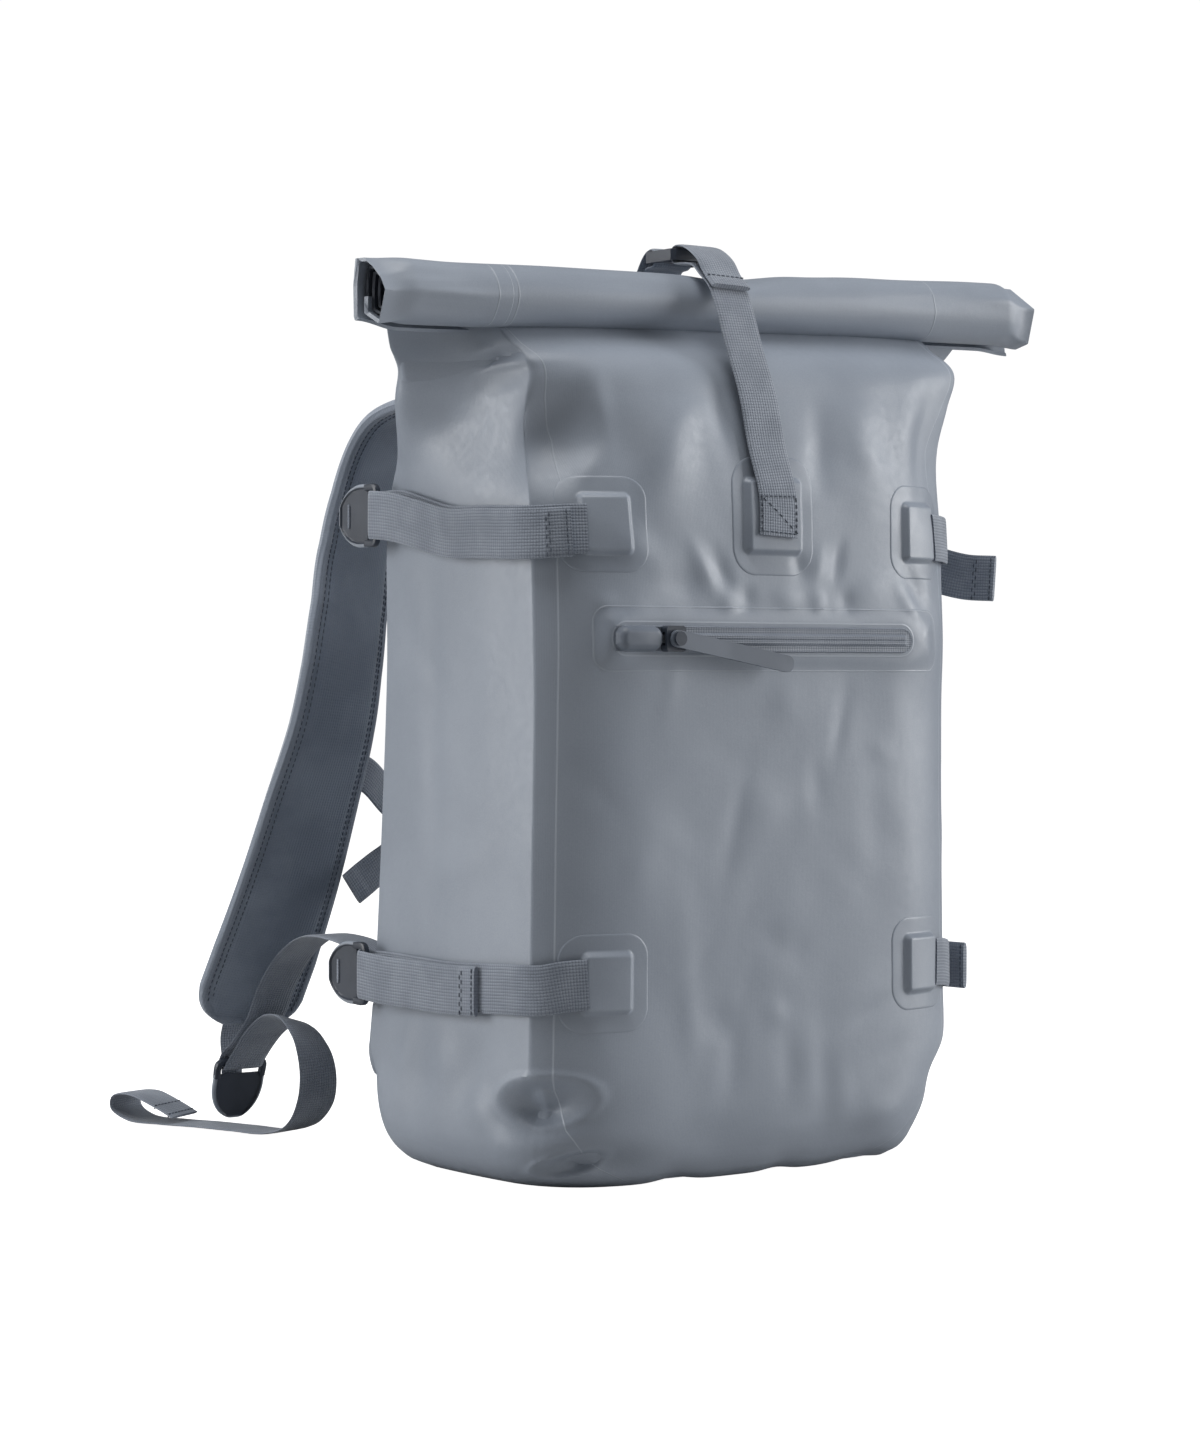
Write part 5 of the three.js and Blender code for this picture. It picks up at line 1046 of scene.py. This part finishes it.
def zipPieces(size):
    z0, x0 = size["height"], size["centre"]
    faceY = bodyPoint(x0 / halfWidth, z0 / neckHeight, folds=0)[1] - size["stand"]
    wide, tall = size["patchWide"], size["patchTall"]
    x = np.linspace(-wide / 2 - 1, wide / 2 + 1, 300)[None, :] + x0 + size["patchShift"]
    w = np.linspace(-tall / 2 - 1, tall / 2 + 1, 60)[:, None]
    onBody = bodyPoint(x / halfWidth, (z0 + w) / neckHeight, 0.0)
    toEdge = rounded(x - x0 - size["patchShift"], w, wide / 2, tall / 2, 9)
    toZip = rounded(x - x0, w, size["length"] / 2, size["tape"] / 2, size["tape"] / 2 - 0.1)
    cover = 1 - ramp(toEdge, -1.0, 0.2)
    rest = onBody[..., 1] - 0.35 * cover + 0.6 * (1 - cover)
    fromZip, fromEdge = np.maximum(toZip - 0.8, 0), np.maximum(-toEdge, 0)
    climb = 1 - ramp(fromZip / np.maximum(fromZip + fromEdge, 0.01), 0.0, 0.9)
    y = rest * (1 - climb) + faceY * climb
    points = np.stack([onBody[..., 0], y, onBody[..., 2]], -1)
    weld = np.where(np.abs(toEdge + 1) < np.abs(toZip - 1.4), toEdge + 1, 1.4 - toZip)
    skin = gridShape(points, np.stack(np.broadcast_arrays(x, w), -1), masks={"weld": np.clip(weld, -9, 9)})
    back = points + np.array([0, 1.2, 0])
    underside = gridShape(back, masks={"weld": np.full(back.shape[:2], 9.0)})
    film = joinShapes([skin, underside, *sheetSides(points, back)])
    putPiece("zipPatch", film, weldedFilm, ["zip_patch"])

    tapeY = faceY - clearance - size["tapeThick"]
    x = np.linspace(-size["length"] / 2, size["length"] / 2, 420)[None, :]
    w = np.linspace(-size["tape"] / 2, size["tape"] / 2, 56)[:, None]
    toEdge = rounded(x, w, size["length"] / 2, size["tape"] / 2, size["tape"] / 2 - 0.1)
    body = 1 - ramp(toEdge, -0.9, 0.0)
    onRail = (1 - ramp(np.abs(w), 1.9, 3.1)) * (1 - ramp(x, size["length"] / 2 - 7, size["length"] / 2 - 4))
    teeth = 0.08 * np.cos(x * 2 * math.pi / 1.7) * np.exp(-(w / 0.8) ** 2)
    groove = 0.45 * np.exp(-(w / 0.32) ** 2) - teeth
    proud = body * (size["tapeThick"] + onRail * (size["rail"] * 0.34 - groove))
    proud = proud + 0.25 * np.exp(-((toEdge + 1.2) / 0.5) ** 2) * body
    points = np.stack(np.broadcast_arrays(x + x0, tapeY + size["tapeThick"] - proud + 1.6 * (1 - body),
                                          z0 + w), -1)
    back = points.copy()
    back[..., 1] = tapeY + size["tapeThick"] + 1.7
    top = gridShape(points, np.stack(np.broadcast_arrays(w, x), -1))
    tape = joinShapes([top, gridShape(back), *sheetSides(points, back)])
    putPiece("zipTapeAndRail", tape, zipTape, ["zip_rail"])

    garageX = x0 - size["length"] / 2 + size["garageLength"] / 2
    x = np.linspace(-1, 1, 60)[None, :] * size["garageLength"] / 2
    w = np.linspace(-1, 1, 34)[:, None] * size["garageTall"] / 2
    inner = -rounded(x, w, size["garageLength"] / 2, size["garageTall"] / 2, 5.2)
    dome = np.sqrt(np.clip(1 - (1 - np.clip(inner, 0, 3.6) / 3.6) ** 2, 0, 1))
    acrossIt, alongIt = (np.cos(v * math.pi) for v in (w / size["garageTall"], x / size["garageLength"]))
    crown = 0.86 + 0.14 * acrossIt * alongIt
    y = tapeY + 0.6 - (size["garageDepth"] * 0.86) * dome * crown
    points = np.stack(np.broadcast_arrays(x + garageX, y, z0 + w), -1)
    back = points.copy()
    back[..., 1] = tapeY + 0.8
    garage = joinShapes([gridShape(points), gridShape(back), *sheetSides(points, back)])
    putPiece("zipGarage", garage, zipRubber, ["zip_garage"])


zipPieces(zipSize)
keepNode("zip_slider", mouldedPlastic, 0.35)
keepNode("zip_pull", zipRubber, 0.5)
print("zip made")

# Shoulder pads: a cushioned section with a bound rim, carried down its route.
padRoute = np.array([
    (-58, 81, 378, 0, 0.84), (-60, 88, 393, 0, 0.90), (-64, 104, 401, 2, 0.96), (-69, 126, 401, 5, 1.00),
    (-73, 150, 394, 9, 1.02),
    (-76, 167, 379, 13, 1.02), (-81, 179, 352, 18, 1.02), (-87, 182, 322, 19, 1.02),
    (-94, 178, 290, 17, 1.00), (-100, 176, 258, 12, 0.98),
    (-104, 180, 226, 6, 0.97), (-108, 194, 186, -3, 0.97), (-112, 212, 140, -9, 1.00),
    (-117, 230, 98, -12, 1.04), (-120, 240, 76, -13, 1.04),
    (-121, 246, 63, -13, 0.92), (-121, 249, 57, -13, 0.70),
], float)
padSize = {"width": 61.0, "thick": 11.0, "seat": 2.0 + 0.7 + 5.5, "rimReach": 6.2 / 0.165,
           "stitches": (5.0, 7.6)}
# Share of half the width, and how thick the pad is there.
padProfile = np.array([(0, 1.0), (0.55, 0.97), (0.72, 0.88), (0.80, 0.72), (0.835, 0.52), (0.86, 0.60),
                       (0.92, 0.64), (0.97, 0.50), (1.0, 0.0)])


def padFrames():
    # frames at fine steps along the route, the width turned by each row's own angle
    stops = padRoute[:, :3].copy()
    stops[0, 1] = bodyPoint(3 - stops[0, 0] / halfWidth, stops[0, 2] / neckHeight, padSize["seat"],
                            folds=0)[1]
    path, low, share = smoothPath(stops, 12)
    turn = np.radians(padRoute[low, 3] * (1 - share[:, 0]) + padRoute[low + 1, 3] * share[:, 0])
    wide = padRoute[low, 4] * (1 - share[:, 0]) + padRoute[low + 1, 4] * share[:, 0]
    run = np.concatenate([[0], np.cumsum(np.linalg.norm(np.diff(path, axis=0), axis=1))])
    along = np.linspace(0, run[-1], 300)
    centre = np.stack([np.interp(along, run, path[:, k]) for k in range(3)], 1)
    turn, wide = np.interp(along, run, turn), np.interp(along, run, wide)
    tangent = unit(np.gradient(centre, along, axis=0))
    side = np.stack([np.cos(turn), np.sin(turn), 0 * turn], 1)
    side = unit(side - np.sum(side * tangent, 1, keepdims=True) * tangent)
    return {"along": along, "centre": centre, "tangent": tangent, "side": side,
            "normal": np.cross(side, tangent), "wide": wide}


padFrame = padFrames()


def padShape(route):
    u = np.sin(np.linspace(-math.pi / 2, math.pi / 2, 61))
    total = route["along"][-1]
    toEnd = np.minimum(route["along"], total - route["along"])
    half = padSize["width"] / 2 * route["wide"]
    # the rim follows the end as well: the share across grows where the end is near
    roundEnd = np.sqrt(np.clip(1 - (1 - np.clip((total - route["along"]) / 16, 0, 1)) ** 2, 0, 1))
    half = half * (0.35 + 0.65 * roundEnd)
    nearEdge = np.minimum((1 - np.abs(u))[None, :] * half[:, None], toEnd[:, None])
    share = 1 - np.clip(nearEdge / padSize["rimReach"], 0, 1)
    deep = np.interp(share, padProfile[:, 0], padProfile[:, 1]) * padSize["thick"] / 2
    deep = deep * np.where(nearEdge <= 0, 0, 1)
    loopU = np.concatenate([u, u[-2:0:-1]])
    loopV = np.concatenate([deep, -deep[:, -2:0:-1]], 1)
    across = loopU[None, :] * half[:, None]
    points = (route["centre"][:, None] + route["side"][:, None] * across[..., None]
              + route["normal"][:, None] * loopV[..., None])
    edge = np.concatenate([nearEdge, nearEdge[:, -2:0:-1]], 1)
    flat = np.stack(np.broadcast_arrays(across, route["along"][:, None]), -1)
    return gridShape(points, flat, around=True, masks={"rim": 1 - ramp(edge, 5.4, 6.4)}, capEnds=True)


def padStitches(route, inset, gap=3.4):
    total = route["along"][-1]
    along = np.arange(8, total - inset - 8, gap)
    parts = []
    for edge in (-1, 1):
        half = np.interp(along, route["along"], padSize["width"] / 2 * route["wide"])
        for face in (-1, 1):
            share = 1 - inset / padSize["rimReach"]
            off = np.interp(share, padProfile[:, 0], padProfile[:, 1]) * padSize["thick"] / 2 + 0.1
            place, tangent, side, normal = onRoute(route, along, edge * (half - inset),
                                                   np.full(len(along), face * off))
            parts.append(stitchShape(place, tangent, normal, 2.5, 0.7))
    return joinShapes(parts)


pad = padShape(padFrame)
stitches = joinShapes([padStitches(padFrame, inset) for inset in padSize["stitches"]])
for side, turned in (("left", lambda s: s), ("right", mirrorShape)):
    piece = putPiece("shoulderPad_" + side, turned(pad), padFabric, ["shoulder_pad_" + side],
                     sharp=60)
    putPiece("padStitch_" + side, turned(stitches), sewingThread)
print("shoulder pads made")

# Webbing of the harness: lower webs with their rings, end tabs and wings.
padRing = {"bar": np.array([-121.0, 250, 36]), "forward": unit(np.array([0, 0.28, -0.95])),
           "normal": unit(np.array([0, -0.95, -0.28]))}
wingSize = {"around": 2.13, "height": 66.0, "wide": 34, "tall": 46, "corner": 8, "thick": 3.0}
lowerWeb = np.array([
    (-119.5, 103, 99), (-120, 120, 109), (-120, 144, 113), (-120, 168, 112), (-120, 192, 101),
    (-120, 212, 82), (-120, 225, 63),
    (-120.5, 234, 54), (-120.5, 243.5, 46.5), (-120.5, 249.5, 43),
])
lowerTail = np.array([
    (-120.5, 238, 44, 1, 0, 0), (-120.5, 224, 55.5, 1, 0, -0.1), (-120, 209, 63, 1, 0.05, -0.25),
    (-119.5, 194, 63, 1, 0.1, -0.32),
    (-119, 179, 53, 1, 0.15, -0.2), (-118, 173, 38, 1, 0.1, 0), (-117, 177, 20, 1, 0, 0.05),
    (-119, 188, 7, 1, 0.1, 0.05),
    (-124, 205, 1.6, 1, 0.3, 0), (-132, 228, 1.4, 1, 0.4, 0), (-142, 252, 1.8, 1, 0.4, 0),
    (-151, 275, 1.6, 1, 0.35, 0),
    (-160, 296, 2.6, 1, 0.35, 0), (-164, 306, 8.5, 1, 0.3, 0), (-164, 305, 15, 1, 0.3, 0),
    (-160, 294, 17, 1, 0.3, 0),
    (-154, 278, 12, 1, 0.35, 0), (-148.5, 266, 6.2, 1, 0.38, 0),
])


def harnessShapes():
    up = np.array([0, 16.0])
    off = wingSize["thick"] + 2.6 * clearance + webbing["thick"] / 2 + up * 0.12
    onWing = bodyPoint(-wingSize["around"], (wingSize["height"] + up) / neckHeight, off, folds=0)
    onWing[:, 0] = -119
    turn = halfTurn(padRing["bar"], padRing["forward"], padRing["normal"], turnRadius)
    lead = np.vstack([onWing, lowerWeb, turn])
    stops = np.vstack([lead, lowerTail[:, :3]])
    across = np.vstack([np.tile([1.0, 0, 0], (len(lead), 1)), unit(lowerTail[:, 3:])])
    route = strapRoute(stops, across)
    total = route["along"][-1]
    sewn = [stitchesAcross(route, total - 3, 25, s * 0.9) for s in (-1, 1)]
    sewn += [stitchesAcross(route, total - 13, 25, s * 0.9) for s in (-1, 1)]
    ring = ringShape(padRing["bar"], padRing["forward"], padRing["normal"])
    end = len(padFrame["along"]) - 34
    root = padFrame["centre"][end] + padFrame["normal"][end] * (padSize["thick"] / 2 + 2.55)
    behind = [padRing["bar"] + padRing["forward"] * a - padRing["normal"] * b
              for a, b in ((-12, 15), (2, 10), (15, 6.5), (23, 4.2))]
    slot = padRing["bar"] + padRing["forward"] * tabSlotAt + padRing["normal"] * 0.4
    tab = strapRoute([root - padFrame["tangent"][end] * 16, root, *behind, slot], (1, 0, 0))
    return {"shoulderWeb": (strapShape(route), wovenWebbing, "webbing", "shoulder_web"),
            "webStitch": (joinShapes(sewn), sewingThread, "webbing", None),
            "shoulderRing": (ring, mouldedPlastic, "moulded_plastic", "shoulder_ring"),
            "padEndTab": (strapShape(tab, 13.5), wovenWebbing, "webbing", "pad_end_tab")}


for name, (shape, material, slot, node) in harnessShapes().items():
    putPair(name, shape, material, node)


def flatPlate(size, groove=0.3):
    def stand(u, w):
        toEdge = rounded(u, w, size["wide"] / 2, size["tall"] / 2, size["corner"])
        sheet = (size["thick"] + 0.6) * (1 - ramp(toEdge, -1.6, 0.1))
        height = -0.6 + sheet - groove * np.exp(-((toEdge + 4) / 0.8) ** 2)
        return height, {"weld": np.clip(toEdge + 4, -9, 9)}
    return stand


wing = plateShape(-wingSize["around"], wingSize["height"], wingSize["wide"], wingSize["tall"],
                  flatPlate(wingSize), folds=0)
putPair("webWing", wing, weldedFilm, "web_wing")
yokeSize = {"wide": 190.0, "tall": 40.0, "rise": 393.0, "corner": 10, "thick": 2.0}
yoke = plateShape(3, yokeSize["rise"], yokeSize["wide"], yokeSize["tall"], flatPlate(yokeSize), step=0.9,
                  folds=0)
putPiece("strapYoke", yoke, weldedFilm, ["strap_yoke"])

# Back pad: cushions between sewn channels, inside a bound rim.
backSize = {"width": 196.0, "bottom": 48.0, "height": 318.0, "thick": 11.0}


def backStand(u, w):
    toEdge = rounded(u, w, backSize["width"] / 2, backSize["height"] / 2, 22)
    upright = np.abs(np.abs(u) - 49)
    level = np.minimum.reduce([np.abs(w - c) for c in (-72, 0, 72)])
    channel = np.minimum(upright, level)
    swell = np.clip(np.minimum(channel, -toEdge - 7), 0, 14) / 14
    plump = backSize["thick"] * (0.62 + 0.38 * np.sqrt(np.clip(1 - (1 - swell) ** 2, 0, 1)))
    rim = backSize["thick"] * 0.42 * np.sqrt(np.clip(1 - ((toEdge + 3.6) / 3.7) ** 2, 0, 1))
    height = np.where(toEdge > -7.2, np.maximum(rim, 1.2) * (toEdge < 0.1) - 0.8 * (toEdge >= 0.1), plump)
    return height + clearance, {"rim": 1 - ramp(-toEdge, 6.4, 7.4)}


backPad = plateShape(3, backSize["bottom"] + backSize["height"] / 2, backSize["width"], backSize["height"],
                     backStand, step=1.4, folds=0)
putPiece("backPad", backPad, padFabric, ["back_pad"], sharp=60)
print("harness and back pad made")

# Chest strap on the pads' outer faces, its clip and hanging end, and the grab handle.
sternum = {"web": 20.0, "raise": 14.0, "clipLength": 46.0, "clipWidth": 27.0, "clipThick": 9.0,
           "clipZ": 178.0}


def sternumPieces(size):
    key = int(np.argmin(np.abs(padFrame["centre"][:, 2] - padRoute[11, 2])))
    normal, side, tangent = padFrame["normal"][key], padFrame["side"][key], padFrame["tangent"][key]
    onPad = padFrame["centre"][key] - tangent * size["raise"] + normal * (padSize["thick"] / 2 + 4.5 + 0.75)
    clipY = onPad[1] + 5
    half = size["clipLength"] / 2
    stops = [onPad - side * 8, onPad + side * 12, onPad + side * (padSize["width"] / 2 + 4),
             [-half - 26, clipY - 1, size["clipZ"] + 5],
             [-half - 8, clipY, size["clipZ"]], [-half - clearance, clipY, size["clipZ"]]]
    left = strapShape(strapRoute(stops), size["web"])
    putPair("sternumStrap", left, wovenWebbing, "sternum_strap")
    front = clipY - size["clipThick"] / 2
    stops = np.array([[-10, front - clearance - 0.75, size["clipZ"], 0.15, 0, 1],
                      [-26, front - 1.6, size["clipZ"] - 4, 0.3, 0, 1],
                      [-44, clipY - 7, size["clipZ"] - 14, 0.5, 0, 0.9],
                      [-62, clipY - 9, size["clipZ"] - 29, 0.62, 0, 0.8],
                      [-82, clipY - 9, size["clipZ"] - 43, 0.66, 0, 0.77]])
    putWebbing("sternumTail", strapShape(strapRoute(stops[:, :3], stops[:, 3:]), size["web"], hemEnd=9),
               "sternum_tail")


sternumPieces(sternum)
keepNode("sternum_clip", mouldedPlastic, 1.2)

handle = {"feet": 66.0, "width": 20.0, "reach": 28.0}


def handlePiece(size):
    rise = yokeSize["rise"] / neckHeight
    upright = unit(bodyPoint(3, rise + 0.02, folds=0) - bodyPoint(3, rise - 0.02, folds=0))
    outward = np.cross(upright, [1.0, 0, 0])
    arch = np.array([(-0.62, 0), (-0.50, 0.02), (-0.40, 0.3), (-0.26, 0.82), (0, 1), (0.26, 0.82),
                     (0.40, 0.3), (0.50, 0.02), (0.62, 0)])
    foot = np.tile(bodyPoint(3, rise, folds=0), (len(arch), 1))
    foot[:, 0] = arch[:, 0] * size["feet"]
    stops = foot + outward * (yokeSize["thick"] + 4 * clearance + 0.75 + arch[:, 1:] * size["reach"])
    route = strapRoute(stops, upright)
    total = route["along"][-1]
    rows = [stitchesAcross(route, a, size["width"], s * 0.9) for a in (2, 8, total - 8, total - 2)
            for s in (-1, 1)]
    putWebbing("haulHandle", strapShape(route, size["width"]), "haul_handle")
    putPiece("handleStitch", joinShapes(rows), sewingThread)


handlePiece(handle)
print("chest strap and handle made")

# Studio: a white floor, a white surround and soft lamps from both sides and above.
studio = {"surround": 0.15, "floor": 1.0,
          "lamps": [("leftLamp", (-2.1, 1.35, 0.75), (1.2, 1.8), 41),
                    ("rightLamp", (2.3, -1.25, 0.85), (1.2, 1.8), 52),
                    ("topLamp", (-0.3, -0.2, 2.3), (1.4, 1.4), 30)]}


def makeStudio(settings):
    scene = bpy.context.scene
    scene.view_settings.view_transform = "Standard"
    world = bpy.data.worlds.new("surround")
    scene.world = world
    world.use_nodes = True
    tree = world.node_tree
    seen = tree.nodes.new("ShaderNodeLightPath").outputs["Is Camera Ray"]
    strength = calc(tree, "MULTIPLY_ADD", seen, 1.02 - settings["surround"], settings["surround"])
    background = tree.nodes["Background"]
    background.inputs["Color"].default_value = (1, 1, 1, 1)
    wire(tree, strength, background.inputs["Strength"])
    mesh = bpy.data.meshes.new("studioFloor")
    mesh.from_pydata([(-6, -6, -0.0006), (6, -6, -0.0006), (6, 6, -0.0006), (-6, 6, -0.0006)], [],
                     [(0, 1, 2, 3)])
    floor = bpy.data.objects.new("studioFloor", mesh)
    scene.collection.objects.link(floor)
    material = bpy.data.materials.new("paleFloor")
    material.use_nodes = True
    tree = material.node_tree
    shader = tree.nodes["Principled BSDF"]
    shader.inputs["Base Color"].default_value = (0.5, 0.5, 0.5, 1)
    shader.inputs["Roughness"].default_value = 0.8
    shader.inputs["Emission Color"].default_value = (1, 1, 1, 1)
    seen = tree.nodes.new("ShaderNodeLightPath").outputs["Is Camera Ray"]
    wire(tree, calc(tree, "MULTIPLY", seen, settings["floor"]), shader.inputs["Emission Strength"])
    mesh.materials.append(material)
    for name, place, size, energy in settings["lamps"]:
        data = bpy.data.lights.new(name, "AREA")
        data.shape, data.size, data.size_y, data.energy = "RECTANGLE", size[0], size[1], energy
        lamp = bpy.data.objects.new(name, data)
        scene.collection.objects.link(lamp)
        lamp.location = place
        lamp.rotation_mode = "QUATERNION"
        lamp.rotation_quaternion = (Vector((0, 0, 0.22)) - Vector(place)).to_track_quat("-Z", "Y")


makeStudio(studio)
print("studio made")
